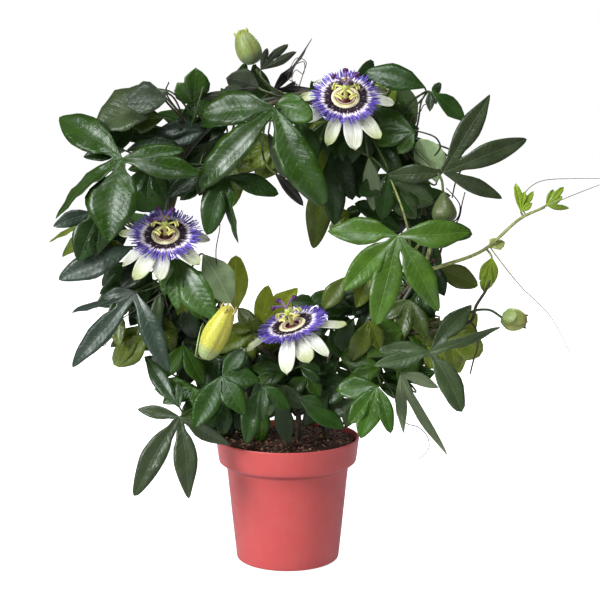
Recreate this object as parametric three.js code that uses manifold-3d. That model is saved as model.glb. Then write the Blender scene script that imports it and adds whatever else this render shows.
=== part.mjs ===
// A passion flower trained round a wire hoop, standing in a plastic grower's pot.
// Millimetres, +Z up. The origin is the centre of the pot's flat base, and the front faces -Y.
import * as THREE from "three";
import { mergeVertices } from "three/addons/utils/BufferGeometryUtils.js";
import Module from "manifold-3d";

const wasm = await Module();
wasm.setup();
const { Manifold, Mesh: SolidMesh } = wasm;
const { Vector2, Vector3 } = THREE;

// Gaps: between neighbouring pieces, round stems in the soil, and behind a flower or bud
const CLEARANCE = 0.3;
const SOIL_GAP = 0.45;
const STALK_GAP = 0.9;

// Points nearer than the first are one point, slivers under the second are merged where pieces of
// a stem have been joined, and shells with less volume than the third are closed voids
const SAME_POINT = 1e-4;
const MERGE_WITHIN = 0.16;
const SMALLEST_BODY = 0.5;

// Pot: a straight taper, a shoulder and a nearly upright band under the lip
const POT_HEIGHT = 104;
const LIP_RADIUS = 60;
const BAND_RADIUS = 57.5;
const BAND_Z = 84;
const SHOULDER_RADIUS = 51;
const SHOULDER_Z = 79;
const BASE_RADIUS = 43;
const BASE_EDGE = 1.5;
const POT_WALL = 1.5;
const POT_FLOOR = 2.5;
const POT_SIDES = 30;
const DRAIN_COUNT = 6;
const DRAIN_RADIUS = 4;
const DRAIN_CIRCLE = 27;

// Soil: peat up to a little under the lip, heaped in the middle
const SOIL_EDGE_Z = 100;
const SOIL_HEAP_Z = 104;

// Hoop: a ring of wire whose ends bend down into two legs
const HOOP_CENTRE = new Vector2(7, 278);
const HOOP_RADIUS = 107;
const HOOP_LEG_X = 33;
const HOOP_BEND = 12;
const HOOP_FOOT_Z = 55;
const WIRE_RADIUS = 1.6;
const HOOP_STEPS = 50;

// Vines: two woody stems wind up the legs and round the ring, and a third stands in the middle
const VINE_RADIUS = 2.3;
const VINE_OFFSET = 4.7;
const VINE_PITCH = 110;
const VINE_FOOT_Z = 86;
const VINE_STEP = 12;

// Leaves: thin blades of long lobes that spread from the end of a stalk
const BLADE_THICKNESS = 0.8;
const STALK_RADIUS = 1.1;
const STALK_SUNK = 4.5;
const LONG_STALK = 45;
const STALK_SAG = 0.3;
const STALK_LEAD = 0.2;
const ROOT_SAMPLES = 160;
const ROOT_END = 12;
const ROOT_FACING = 0.3;
const BEHIND_COST = 40;
const LOBE_HALF_WIDTH = 5;
const LOBE_HALF_WIDTH_PER_LENGTH = 0.11;
const LOBE_RISE = 0.1;
const LOBE_BEND = 0.45;
const LOBE_FOLD = 0.18;
const LOBE_FULLEST = 1.15;
const LOBE_BLUNTNESS = 0.8;
const SINUS_AT = 0.13;
const SINUS_WIDE_ANGLE = 50;
const SINUS_FILL = 0.4;
const LOBE_ROOM = 0.95;
const LOBE_ROOM_LENGTH = 60;
const OPEN_SIDE = 180;
const EDGE_AT = [0.5, 0.8];
const SHORT_LOBE = 41;
const SHORT_EDGE_AT = [0.62];
const BACK_LOBES = [[-52, 40], [0, 48], [52, 40]];
const BACK_WIDTH = 0.9;
const BACK_REACH = [-14, 22];
const BACK_DEPTH = [16, 46];

// Flowers: tepals, a ring of filaments, a raised crown and a central column
const TEPAL_COUNT = 10;
const TEPAL_REACH = 36;
const TEPAL_HALF_WIDTH = 6.8;
const TEPAL_TIP_HALF_WIDTH = 2.5;
const TEPAL_MIDDLE = 23;
const TEPAL_WIDEST = 29.5;
const TEPAL_NOTCH = 21.5;
const TEPAL_THICKNESS = 0.8;
const CUP_RADIUS = 8;
const CUP_DEPTH = 9;
const CORONA_TEETH = 30;
const CORONA_INNER = 12.5;
const CORONA_ROOT = 22;
const CORONA_REACH = 28.5;
const CORONA_Z = 1.4;
const CORONA_CUP = 1.5;

const SHOOT_RADIUS = 1.5;
const TENDRIL_RADIUS = 0.7;

const LEAF_GREEN = new THREE.MeshStandardMaterial({ color: 0x2f5a22, roughness: 0.45 });
const SHOOT_GREEN = new THREE.MeshStandardMaterial({ color: 0x9aa83c, roughness: 0.5 });
const BUD_GREEN = new THREE.MeshStandardMaterial({ color: 0x93a355, roughness: 0.55 });
const BUD_YELLOW = new THREE.MeshStandardMaterial({ color: 0xd3d158, roughness: 0.55 });
const PETAL_WHITE = new THREE.MeshStandardMaterial({ color: 0xeeeedc, roughness: 0.55 });
const CORONA_VIOLET = new THREE.MeshStandardMaterial({ color: 0x6a52b8, roughness: 0.6 });
const CROWN_PURPLE = new THREE.MeshStandardMaterial({ color: 0x3a1730, roughness: 0.6 });
const COLUMN_CREAM = new THREE.MeshStandardMaterial({ color: 0xd9cf7a, roughness: 0.5 });
const STIGMA_PURPLE = new THREE.MeshStandardMaterial({ color: 0x4a2352, roughness: 0.5 });
const POT_RED = new THREE.MeshStandardMaterial({ color: 0xdc5f5a, roughness: 0.4 });
const SOIL_BROWN = new THREE.MeshStandardMaterial({ color: 0x2b1c14, roughness: 0.95 });
const WIRE_GREY = new THREE.MeshStandardMaterial({ color: 0x4a4a42, roughness: 0.5, metalness: 0.4 });

// Turns a closed mesh into a solid: merges its points, drops slivers and turns the faces outwards
function solidFrom(geometry) {
  const bare = geometry.clone();
  for (const name of Object.keys(bare.attributes)) {
    if (name !== "position") {
      bare.deleteAttribute(name);
    }
  }
  const merged = mergeVertices(bare, SAME_POINT);
  const points = merged.attributes.position;
  const index = merged.index.array;
  const corner = (k) => new Vector3().fromBufferAttribute(points, k);
  const triangles = [];
  let volume = 0;
  for (let k = 0; k < index.length; k += 3) {
    const [a, b, c] = [index[k], index[k + 1], index[k + 2]];
    if (a !== b && b !== c && c !== a) {
      triangles.push([a, b, c]);
      volume += corner(a).dot(corner(b).cross(corner(c)));
    }
  }
  const outward = volume > 0 ? triangles : triangles.map(([a, b, c]) => [a, c, b]);
  return new Manifold(new SolidMesh({
    numProp: 3,
    vertProperties: new Float32Array(points.array),
    triVerts: new Uint32Array(outward.flat()),
  }));
}

function geometryFrom(solid) {
  const mesh = solid.getMesh();
  const geometry = new THREE.BufferGeometry();
  geometry.setAttribute("position", new THREE.BufferAttribute(new Float32Array(mesh.vertProperties), 3));
  geometry.setIndex(new THREE.BufferAttribute(new Uint32Array(mesh.triVerts), 1));
  geometry.computeVertexNormals();
  return geometry;
}

function piece(name, solid, material) {
  const mesh = new THREE.Mesh(geometryFrom(solid), material);
  mesh.name = name;
  return mesh;
}

// A profile of [radius, height] pairs turned round the Z axis
function turned(profile, sides) {
  const points = profile.map(([radius, height]) => new Vector2(radius, height));
  return solidFrom(new THREE.LatheGeometry(points, sides).rotateX(Math.PI / 2));
}

// A rod of few sides along a curve
function rod(curve, radius, sides, steps) {
  const ring = Array.from({ length: sides }, (_, k) => {
    const angle = (2 * Math.PI * k) / sides;
    return new Vector2(radius * Math.cos(angle), radius * Math.sin(angle));
  });
  const options = { steps, extrudePath: curve, bevelEnabled: false };
  return solidFrom(new THREE.ExtrudeGeometry(new THREE.Shape(ring), options));
}

function smoothCurve(points) {
  return new THREE.CatmullRomCurve3(points.map((point) => new Vector3(...point)), false, "centripetal");
}

// Joins solids into one, merges slivers at the joints and fills the voids that are closed in
function fused(solids) {
  const whole = Manifold.union(solids).simplify(MERGE_WITHIN);
  return Manifold.union(whole.decompose().filter((shell) => shell.volume() > SMALLEST_BODY));
}

const radians = THREE.MathUtils.degToRad;

// The hoop's centre line: leg, bend, ring, bend, leg, drawn from the left foot to the right one
function hoopLine() {
  const reach = HOOP_RADIUS + HOOP_BEND;
  const leftBend = new Vector2(-HOOP_LEG_X - HOOP_BEND, 0);
  const rightBend = new Vector2(HOOP_LEG_X + HOOP_BEND, 0);
  for (const bend of [leftBend, rightBend]) {
    bend.y = HOOP_CENTRE.y - Math.sqrt(reach ** 2 - (HOOP_CENTRE.x - bend.x) ** 2);
  }
  const leftAngle = HOOP_CENTRE.clone().sub(leftBend).angle();
  const rightAngle = rightBend.clone().sub(HOOP_CENTRE).angle() - 2 * Math.PI;
  const line = new THREE.Path();
  line.moveTo(-HOOP_LEG_X, HOOP_FOOT_Z);
  line.lineTo(-HOOP_LEG_X, leftBend.y);
  line.absarc(leftBend.x, leftBend.y, HOOP_BEND, 0, leftAngle, false);
  line.absarc(HOOP_CENTRE.x, HOOP_CENTRE.y, HOOP_RADIUS, leftAngle + Math.PI, rightAngle, true);
  line.absarc(rightBend.x, rightBend.y, HOOP_BEND, rightAngle + Math.PI, Math.PI, false);
  line.lineTo(HOOP_LEG_X, HOOP_FOOT_Z);
  const ringStart = leftBend.y - HOOP_FOOT_Z + HOOP_BEND * leftAngle;
  return { line, length: line.getLength(), ringStart, ringAngle: leftAngle + Math.PI };
}

const HOOP = hoopLine();

// Distance along the hoop at which the ring passes an angle, in degrees counterclockwise from +X
function alongRing(angle) {
  return HOOP.ringStart + HOOP_RADIUS * (HOOP.ringAngle - radians(angle));
}

class HoopCurve extends THREE.Curve {
  getPoint(t, target = new Vector3()) {
    const point = HOOP.line.getPoint(t);
    return target.set(point.x, 0, point.y);
  }
}

// A stem that winds round the hoop between two distances along it
class VineCurve extends THREE.Curve {
  constructor(from, to, phase) {
    super();
    this.from = from;
    this.to = to;
    this.phase = phase;
  }

  // The way from the hoop's wire to the stem
  outward(t) {
    const along = this.from + t * (this.to - this.from);
    const tangent = HOOP.line.getTangent(along / HOOP.length);
    const turn = (2 * Math.PI * along) / VINE_PITCH + this.phase;
    return new Vector3(-tangent.y * Math.cos(turn), Math.sin(turn), tangent.x * Math.cos(turn));
  }

  getPoint(t, target = new Vector3()) {
    const along = this.from + t * (this.to - this.from);
    const point = HOOP.line.getPoint(along / HOOP.length);
    return target.set(point.x, 0, point.y).addScaledVector(this.outward(t), VINE_OFFSET);
  }
}

const LEFT_FOOT = VINE_FOOT_Z - HOOP_FOOT_Z;
const RIGHT_FOOT = HOOP.length - LEFT_FOOT;
const JOINT = 0.4;
const leftVine = (from, to) => new VineCurve(from, to - JOINT, 0);
const rightVine = (from, to) => new VineCurve(from, to + JOINT, Math.PI);

// The third stem leans to the left between the hoop's legs
const MIDDLE_PATH = [[6, -16, VINE_FOOT_Z], [9, -15, 125], [3, -12, 150], [-12, -8, 172], [-30, -4, 186]];

// Leaves of each stem. A row is the leaf's hub x, y, z, the pitch and yaw of its face in degrees,
// its width factor, and its lobes: the angle and length seen from the front, and a twist if any.
const STEMS = [
  {
    name: "stem_left_low",
    curve: leftVine(LEFT_FOOT, alongRing(215)),
    leaves: [
      [-121, -4, 198, 10, -10, 0.7, [[216, 34], [240, 39]]],
      [-85, -16, 184, 20, 10, 0.9, [[296, 37], [239, 34]]],
      [-85, -60, 134, 20, 0, 0.85, [[236, 70], [275, 63], [329, 44, 20], [168, 32]]],
      [-86, -48, 138, 25, -10, 0.7, [[97, 19], [126, 47, 30]]],
      [-51, -60, 167, 30, 0, 0.95, [[239, 47], [299, 34], [355, 29], [48, 28]]],
      [-77, -34, 152, 30, 0, 1, [[177, 32], [205, 27], [302, 21]]],
    ],
    back: { seed: 1, count: 3, from: 0.6, to: 0.95 },
    rooted: true,
  },
  {
    name: "stem_left_side",
    curve: leftVine(alongRing(215), alongRing(160)),
    leaves: [
      [-43, 16, 207, 0, 0, 0.9, [[90, 48]]],
      [-72, -30, 255, 4, -10, 1, [[314, 46], [283, 48], [239, 30]]],
      [-120, -46, 232, 20, -10, 0.75, [[202, 55, 50], [231, 78], [295, 64], [192, 30]]],
      [-123, -24, 266, 20, 0, 0.75, [[204, 65]]],
      [-154, -2, 283, 0, -20, 0.55, [[187, 35, 30], [203, 49, 65], [223, 51]]],
      [-142, -12, 292, 20, 0, 1, [[246, 40], [218, 37]]],
    ],
    back: { seed: 6, count: 3, from: 0, to: 1 },
    rooted: false,
  },
  {
    name: "stem_left_top",
    curve: leftVine(alongRing(160), alongRing(80)),
    leaves: [
      [-128, -50, 338, 25, -10, 0.95, [[149, 58], [219, 67, 65], [255, 59], [273, 54], [5, 56]]],
      [-127, -32, 343, 30, 0, 0.9, [[184, 36], [8, 45]]],
      [-93, -22, 389, 45, -10, 0.95, [[198, 63], [219, 44], [256, 28]]],
      [-83, -12, 350, 30, 10, 0.9, [[171, 54], [183, 27]]],
      [-78, -4, 379, -20, 20, 1.3, [[119, 18], [80, 29], [54, 27]]],
      [-9, -58, 377, 15, -15, 1, [[182, 51], [224, 83], [287, 80]]],
      [-2, -46, 385, 10, 15, 0.9, [[286, 86], [325, 22]]],
      [-22, -14, 392, 10, 165, 0.9, [[151, 28], [187, 27], [206, 43]]],
      [-21, -15, 406, 20, 170, 0.46, [[72, 18], [47, 29], [24, 32]]],
      [-12, 10, 389, 0, 20, 0.7, [[51, 55, 70], [4, 38, 50]]],
      [-37, -28, 368, 10, -30, 0.6, [[129, 32, 40], [167, 35, 45], [185, 40, 30]]],
      [-50, 14, 355, 20, 190, 0.8, [[203, 35], [228, 37]]],
      [-48, -42, 322, 15, 0, 0.85, [[344, 42], [281, 51, 70], [247, 47]]],
      [-64, -14, 330, 20, -10, 0.9, [[219, 44], [256, 25]]],
      [2, 20, 351, 0, 0, 1.1, [[205, 59], [231, 47], [310, 42]]],
    ],
    back: { seed: 1380, count: 4, from: 0, to: 0.85 },
    rooted: false,
  },
  {
    name: "stem_right_top",
    curve: rightVine(alongRing(25), alongRing(102)),
    leaves: [
      [39, -18, 348, 10, 0, 0.7, [[269, 64], [286, 47]]],
      [35, 22, 330, 0, 0, 0.8, [[259, 75], [277, 44]]],
      [110, -24, 392, 25, 10, 0.8, [[164, 49]]],
      [115, -20, 389, 20, 20, 0.9, [[322, 39], [34, 11, 50]]],
      [89, 5, 400, 0, 190, 0.9, [[285, 36], [214, 23]]],
      [102, -19, 357, 25, -10, 1, [[158, 42], [194, 33], [229, 19]]],
      [121, -8, 319, -10, 160, 1.2, [[117, 34], [92, 33]]],
      [127, -26, 326, 10, 10, 0.75, [[58, 74], [22, 69], [337, 50], [184, 44]]],
      [81, -20, 324, 20, 10, 0.9, [[262, 34], [329, 46], [310, 45], [220, 29]]],
      [65, -30, 336, 10, 170, 0.6, [[276, 38]]],
    ],
    back: { seed: 1476, count: 4, from: 0.05, to: 0.7 },
    rooted: false,
  },
  {
    name: "stem_right_side",
    curve: rightVine(alongRing(-32), alongRing(25)),
    leaves: [
      [87, -56, 278, 20, 0, 0.93, [[173, 55], [222, 54], [255, 60], [299, 64], [0, 58]]],
      [92, -6, 286, 10, 10, 0.9, [[163, 40], [40, 23]]],
      [122, 14, 245, 0, 10, 1, [[337, 45]]],
      [49, -16, 236, 15, -10, 0.9, [[237, 31], [100, 20, 50], [312, 12]]],
    ],
    back: { seed: 540, count: 3, from: 0, to: 1 },
    rooted: false,
  },
  {
    name: "stem_right_low",
    curve: rightVine(RIGHT_FOOT, alongRing(-32)),
    leaves: [
      [116, -48, 184, 25, 10, 0.9, [[51, 50], [17, 55, 60], [303, 51], [196, 46], [175, 43]]],
      [129, -6, 188, 0, 10, 1.1, [[34, 34], [342, 33], [298, 33]]],
      [66, -22, 205, 10, 0, 1, [[251, 37], [297, 27]]],
      [55, -2, 204, 10, 0, 1.1, [[240, 33]]],
      [74, -50, 155, 30, 0, 0.95, [[175, 35], [239, 47], [262, 37], [301, 37]]],
      [92, -26, 162, 0, 190, 0.6, [[274, 49], [296, 78], [343, 34]]],
    ],
    back: { seed: 5, count: 3, from: 0.45, to: 0.95 },
    rooted: true,
  },
  {
    name: "stem_middle",
    curve: smoothCurve(MIDDLE_PATH),
    leaves: [
      [-25, 12, 193, 0, 0, 1, [[90, 31], [47, 49]]],
      [-20, -54, 158, 25, 0, 0.9, [[249, 45], [270, 27], [322, 30]]],
      [-7, -38, 143, 0, 185, 0.9, [[285, 37]]],
      [15, -44, 146, 25, 10, 0.9, [[312, 44], [337, 21]]],
      [17, -18, 158, 20, 0, 1, [[217, 28], [301, 19]]],
      [-1, -24, 162, 30, 0, 1, [[166, 30], [195, 26]]],
    ],
    back: { seed: 7, count: 2, from: 0.65, to: 1 },
    rooted: true,
  },
];

// Flowers: the middle of the ring of filaments, the way the flower faces, its turn about that way,
// how far its tepals droop, and a point that its stalk passes
const BLOOMS = [
  { name: "bloom_top", stem: "stem_right_top", centre: [46, -38, 383], axis: [0, -0.755, 0.656],
    turn: 8, droop: 15, bend: [46, -20, 374] },
  { name: "bloom_left", stem: "stem_left_side", centre: [-96, -40, 278], axis: [0, -0.58, 0.814],
    turn: 3, droop: 18, bend: [-97, -22, 264] },
  { name: "bloom_low", stem: "stem_middle", centre: [5, -32, 201], axis: [-0.25, -0.25, 0.93],
    turn: 20, droop: 24, bend: [8, -22, 182] },
];

// Buds: the base, the tip, the widest radius and the points that the stalk passes
const BUDS = [
  { name: "bud_top", stem: "stem_left_top", base: [-24, -6, 412], tip: [-35, -5, 439], radius: 10.5,
    path: [[-14, -4, 392], [-23, -6, 403]], material: BUD_GREEN },
  { name: "bud_opening", stem: "stem_left_low", base: [-66, -50, 179], tip: [-44, -58, 223], radius: 12,
    path: [[-74, -40, 180]], material: BUD_YELLOW },
  { name: "bud_right", stem: "stem_right_low", base: [175, -20, 207], tip: [195, -22, 204], radius: 9.5,
    path: [[140, -12, 204], [152, -16, 212], [165, -18, 213]], material: BUD_GREEN },
  { name: "bud_hanging", stem: "stem_right_top", base: [124, -34, 310], tip: [125, -38, 285], radius: 10,
    path: [[122, -28, 322]], material: BUD_GREEN },
];

// A bud's outline: radius and height, as shares of its widest radius and its length
const BUD_PROFILE = [
  [0, 0], [0.45, 0.02], [0.86, 0.2], [1, 0.42], [0.9, 0.66], [0.6, 0.87], [0.25, 0.98], [0, 1],
];

// Young shoot: the stem that carries it, its path, its leaves and its tendrils
const SHOOT_CARRIER = "stem_right_side";
const SHOOT_PATH = [[120, -12, 248], [136, -18, 256], [161, -24, 264], [187, -26, 290], [206, -26, 299]];
const SHOOT_LEAVES = [
  [165, -25, 257, 0, 0, 0.8, [[257, 28]]],
  [164, -25, 265, 20, 0, 0.7, [[18, 13], [62, 9]]],
  [187, -27, 294, 0, 0, 0.5, [[98, 22], [74, 18], [40, 12]]],
  [207, -26, 299, 10, 0, 0.6, [[42, 20], [352, 19, 40]]],
];
const TENDRILS = [
  [[187, -26, 299], [192, -24, 311], [203, -22, 318], [227, -20, 320], [251, -18, 320]],
  [[209, -26, 299], [229, -30, 308], [248, -34, 316]],
  [[167, -27, 260], [187, -30, 235], [211, -34, 211], [229, -36, 179]],
];

// The unit normal of a leaf's upper face: pitch lifts it, yaw turns it from the front to the right
function faceNormal(pitch, yaw) {
  const level = Math.cos(radians(pitch));
  return new Vector3(
    Math.sin(radians(yaw)) * level, -Math.cos(radians(yaw)) * level, Math.sin(radians(pitch)));
}

// The way a lobe runs in the leaf's plane, so that from the front it points at the given angle.
// Its length says how much longer the lobe is than it looks.
function lobeDirection(angle, normal) {
  const seen = new Vector3(Math.cos(radians(angle)), 0, Math.sin(radians(angle)));
  seen.y = -(normal.x * seen.x + normal.z * seen.z) / normal.y;
  return seen;
}

function lobeOutline(t) {
  return Math.sin(Math.PI * t ** LOBE_FULLEST) ** LOBE_BLUNTNESS;
}

function makeLobe([angle, seenLength, twist = 0], hub, normal, wide, plain) {
  const direction = lobeDirection(angle, normal);
  const length = seenLength * direction.length();
  direction.normalize();
  const flatSide = new Vector3().crossVectors(normal, direction);
  const side = flatSide.clone().multiplyScalar(Math.cos(radians(twist)));
  side.addScaledVector(normal, Math.sin(radians(twist)));
  const up = new Vector3().crossVectors(direction, side);
  const halfWidth = wide * (LOBE_HALF_WIDTH + LOBE_HALF_WIDTH_PER_LENGTH * seenLength);
  const centre = (t) => hub.clone()
    .addScaledVector(direction, length * t * (1 - (LOBE_BEND * t) ** 2 / 6))
    .addScaledVector(normal, length * (LOBE_RISE * t - (LOBE_BEND * t ** 2) / 2));
  const edge = (t, sign, widest) => {
    const reach = Math.min(halfWidth * lobeOutline(t), widest);
    return centre(t).addScaledVector(side, sign * reach).addScaledVector(up, LOBE_FOLD * reach);
  };
  const stations = seenLength > SHORT_LOBE && !plain ? EDGE_AT : SHORT_EDGE_AT;
  return { angle, direction, length, up, centre, edge, stations };
}

// Lobes in turning order as seen from the leaf's face, starting after the widest gap
function sortedLobes(lobes, normal) {
  const sense = normal.y < 0 ? 1 : -1;
  const turning = [...lobes].sort((a, b) => sense * (a.angle - b.angle));
  const gapBefore = (k) => (k === 0
    ? 360 - Math.abs(turning[turning.length - 1].angle - turning[0].angle)
    : Math.abs(turning[k].angle - turning[k - 1].angle));
  let start = 0;
  for (let k = 1; k < turning.length; k += 1) {
    if (gapBefore(k) > gapBefore(start)) {
      start = k;
    }
  }
  return [...turning.slice(start), ...turning.slice(0, start)];
}

// The notch between two neighbouring lobes, deeper in the blade the wider they spread
function sinusBetween(first, second) {
  const gap = THREE.MathUtils.radToDeg(first.direction.angleTo(second.direction));
  const at = SINUS_AT + Math.max(0, 1 - gap / SINUS_WIDE_ANGLE) * SINUS_FILL;
  return { gap, point: first.centre(at).add(second.centre(at)).multiplyScalar(0.5) };
}

// One leaf blade: a flat fan of lobes with the same triangles on both faces
function leafBlade([x, y, z, pitch, yaw, wide, rows], plain = false) {
  const hub = new Vector3(x, y, z);
  const normal = faceNormal(pitch, yaw);
  const lobes = sortedLobes(rows.map((row) => makeLobe(row, hub, normal, wide, plain)), normal);
  const last = lobes.length - 1;
  const points = [];
  const lifts = [];
  const add = (point, up) => {
    points.push(point);
    lifts.push(up);
    return points.length - 1;
  };
  const triangles = [];
  const outline = [add(hub.clone(), normal)];
  let notch = { gap: OPEN_SIDE, point: lobes[0].edge(SINUS_AT, -1, Infinity) };
  let right = add(notch.point, normal);
  let rightGap = OPEN_SIDE;
  lobes.forEach((lobe, k) => {
    notch = k < last
      ? sinusBetween(lobe, lobes[k + 1])
      : { gap: OPEN_SIDE, point: lobe.edge(SINUS_AT, 1, Infinity) };
    const reach = LOBE_ROOM * Math.min(lobe.length, LOBE_ROOM_LENGTH);
    const room = (gap, t) => (gap < OPEN_SIDE ? reach * t * Math.tan(radians(gap / 2)) : Infinity);
    const ridge = plain ? 0 : add(lobe.centre(EDGE_AT[0]), lobe.up);
    const tip = add(lobe.centre(1), lobe.up);
    const rightEdge = lobe.stations.map((t) => add(lobe.edge(t, -1, room(rightGap, t)), lobe.up));
    const leftEdge = lobe.stations.map((t) => add(lobe.edge(t, 1, room(notch.gap, t)), lobe.up));
    const left = add(notch.point, normal);
    const boundary = [right, ...rightEdge, tip, ...leftEdge.reverse(), left];
    if (!plain) {
      triangles.push([0, right, ridge], [0, ridge, left]);
    }
    for (let n = 1; n < boundary.length; n += 1) {
      triangles.push([boundary[n - 1], boundary[n], ridge]);
    }
    outline.push(...boundary.slice(0, -1));
    right = left;
    rightGap = notch.gap;
  });
  outline.push(right);
  return thickened(points, lifts, triangles, [outline], BLADE_THICKNESS);
}

// Gives a patch of triangles its thickness, half to each side of it, with a rim along each outline
function thickened(points, lifts, triangles, outlines, thickness) {
  const count = points.length;
  const corners = [];
  for (const side of [0.5, -0.5]) {
    points.forEach((point, k) => {
      corners.push(...point.clone().addScaledVector(lifts[k], side * thickness).toArray());
    });
  }
  const faces = [];
  for (const [a, b, c] of triangles) {
    faces.push(a, b, c, a + count, c + count, b + count);
  }
  for (const outline of outlines) {
    outline.forEach((from, k) => {
      const to = outline[(k + 1) % outline.length];
      faces.push(to, from, from + count, to, from + count, to + count);
    });
  }
  const geometry = new THREE.BufferGeometry();
  geometry.setAttribute("position", new THREE.Float32BufferAttribute(corners, 3));
  geometry.setIndex(faces);
  return solidFrom(geometry);
}

// Where a stalk leaves a stem for a place: near to it, and not from behind the hoop's wire
function stalkRoot(curve, place) {
  let best = { cost: Infinity };
  for (let k = ROOT_END; k <= ROOT_SAMPLES - ROOT_END; k += 1) {
    const t = k / ROOT_SAMPLES;
    const point = curve.getPoint(t);
    const way = place.clone().sub(point);
    const facing = curve.outward ? Math.cos(curve.outward(t).angleTo(way)) : 1;
    const cost = way.length() + BEHIND_COST * Math.max(0, ROOT_FACING - facing);
    if (cost < best.cost) {
      best = { cost, point };
    }
  }
  return best.point;
}

// A leaf stalk from the nearest point of the stem to the hub, sagging a little on its way
function leafStalk(curve, row) {
  const hub = new Vector3(row[0], row[1], row[2]);
  const normal = faceNormal(row[3], row[4]);
  const root = stalkRoot(curve, hub);
  const first = lobeDirection(row[6][0][0], normal).normalize();
  const reach = root.distanceTo(hub);
  const bend = hub.clone().addScaledVector(normal, -STALK_SAG * reach);
  bend.addScaledVector(first, -STALK_LEAD * reach);
  const end = hub.clone().addScaledVector(first, STALK_SUNK);
  const steps = reach > LONG_STALK ? 3 : 2;
  return rod(new THREE.QuadraticBezierCurve3(root, bend, end), STALK_RADIUS, 3, steps);
}

// A stalk that leaves the nearest point of the stem and ends at the last of its waypoints
function hangingStalk(curve, points) {
  const root = stalkRoot(curve, new Vector3(...points[0]));
  return rod(smoothCurve([root.toArray(), ...points]), STALK_RADIUS, 4, 2 * points.length);
}

// The same draw each time, so that the same leaves grow again
function seededDraw(seed) {
  let state = seed;
  return (low, high) => {
    state = (state * 16807) % 2147483647;
    return low + ((high - low) * state) / 2147483647;
  };
}

// Leaves at the back of a stem, spread along it and turned outwards, with their faces to the back
function backLeaves({ curve, back }) {
  const draw = seededDraw(back.seed);
  return Array.from({ length: back.count }, (_, k) => {
    const root = curve.getPoint(back.from + ((back.to - back.from) * (k + draw(0.3, 0.7))) / back.count);
    const outward = Math.atan2(root.z - HOOP_CENTRE.y, root.x - HOOP_CENTRE.x);
    const reach = draw(BACK_REACH[0], BACK_REACH[1]);
    const aim = THREE.MathUtils.radToDeg(outward) + draw(-50, 50);
    const lobes = BACK_LOBES.map(([turn, length]) => [aim + turn, length * draw(0.85, 1.1)]);
    const depth = draw(BACK_DEPTH[0], BACK_DEPTH[1]);
    const [pitch, yaw] = [draw(0, 35), draw(150, 210)];
    const x = root.x + reach * Math.cos(outward);
    const z = root.z + reach * Math.sin(outward);
    return [x, depth, z, pitch, yaw, BACK_WIDTH, lobes];
  });
}

function stemRod(curve, radius) {
  return rod(curve, radius, 4, Math.round(curve.getLength() / VINE_STEP));
}

// A stem with its leaves, and the stalks of the flowers and buds that hang on it
function stemSolid(stem) {
  const { name, curve, leaves } = stem;
  const solids = [stemRod(curve, VINE_RADIUS)];
  for (const row of leaves) {
    solids.push(leafBlade(row), leafStalk(curve, row));
  }
  for (const row of backLeaves(stem)) {
    solids.push(leafBlade(row, true), leafStalk(curve, row));
  }
  const onStem = (item) => item.stem === name;
  const hanging = [...BLOOMS.filter(onStem).map(bloomStalk), ...BUDS.filter(onStem).map(budStalk)];
  for (const points of hanging) {
    solids.push(hangingStalk(curve, points));
  }
  return fused(solids);
}

// Ten sepals and petals in one ring, drooping towards their tips, on a shallow green cup
function tepalsSolid(droop) {
  const fall = (radius) => -droop * Math.max(0, (radius - CUP_RADIUS) / (TEPAL_REACH - CUP_RADIUS)) ** 1.7;
  const spot = (turn, radius, aside) => {
    const angle = radians(turn);
    const at = Math.hypot(radius, aside);
    const x = radius * Math.cos(angle) - aside * Math.sin(angle);
    const y = radius * Math.sin(angle) + aside * Math.cos(angle);
    return new Vector3(x, y, fall(at));
  };
  const points = [new Vector3()];
  const add = (...place) => points.push(spot(...place)) - 1;
  const step = 360 / TEPAL_COUNT;
  const lobes = Array.from({ length: TEPAL_COUNT }, (_, k) => {
    const turn = k * step;
    const reach = TEPAL_REACH + (k % 2 ? 1 : -1);
    return {
      inner: add(turn, CUP_RADIUS, 0),
      middle: add(turn, TEPAL_MIDDLE, 0),
      right: add(turn, TEPAL_WIDEST, -TEPAL_HALF_WIDTH),
      left: add(turn, TEPAL_WIDEST, TEPAL_HALF_WIDTH),
      tipRight: add(turn, reach, -TEPAL_TIP_HALF_WIDTH),
      tipLeft: add(turn, reach, TEPAL_TIP_HALF_WIDTH),
      notch: add(turn + step / 2, TEPAL_NOTCH, 0),
    };
  });
  const triangles = [];
  const outline = [];
  lobes.forEach((lobe, k) => {
    const next = lobes[(k + 1) % TEPAL_COUNT];
    const before = lobes[(k + TEPAL_COUNT - 1) % TEPAL_COUNT].notch;
    triangles.push(
      [0, lobe.inner, next.inner], [lobe.inner, lobe.middle, lobe.notch],
      [lobe.inner, lobe.notch, next.inner], [next.inner, lobe.notch, next.middle],
      [before, lobe.right, lobe.middle], [lobe.middle, lobe.right, lobe.tipRight],
      [lobe.middle, lobe.tipRight, lobe.tipLeft], [lobe.middle, lobe.tipLeft, lobe.left],
      [lobe.middle, lobe.left, lobe.notch]);
    outline.push(before, lobe.right, lobe.tipRight, lobe.tipLeft, lobe.left);
  });
  const up = points.map(() => new Vector3(0, 0, 1));
  const blades = thickened(points, up, triangles, [outline], TEPAL_THICKNESS);
  const cup = turned([
    [0, -CUP_DEPTH], [3, -CUP_DEPTH], [6, -0.55 * CUP_DEPTH], [CUP_RADIUS - 0.5, -0.1], [0, -0.1],
  ], 10);
  return blades.add(cup);
}

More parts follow.
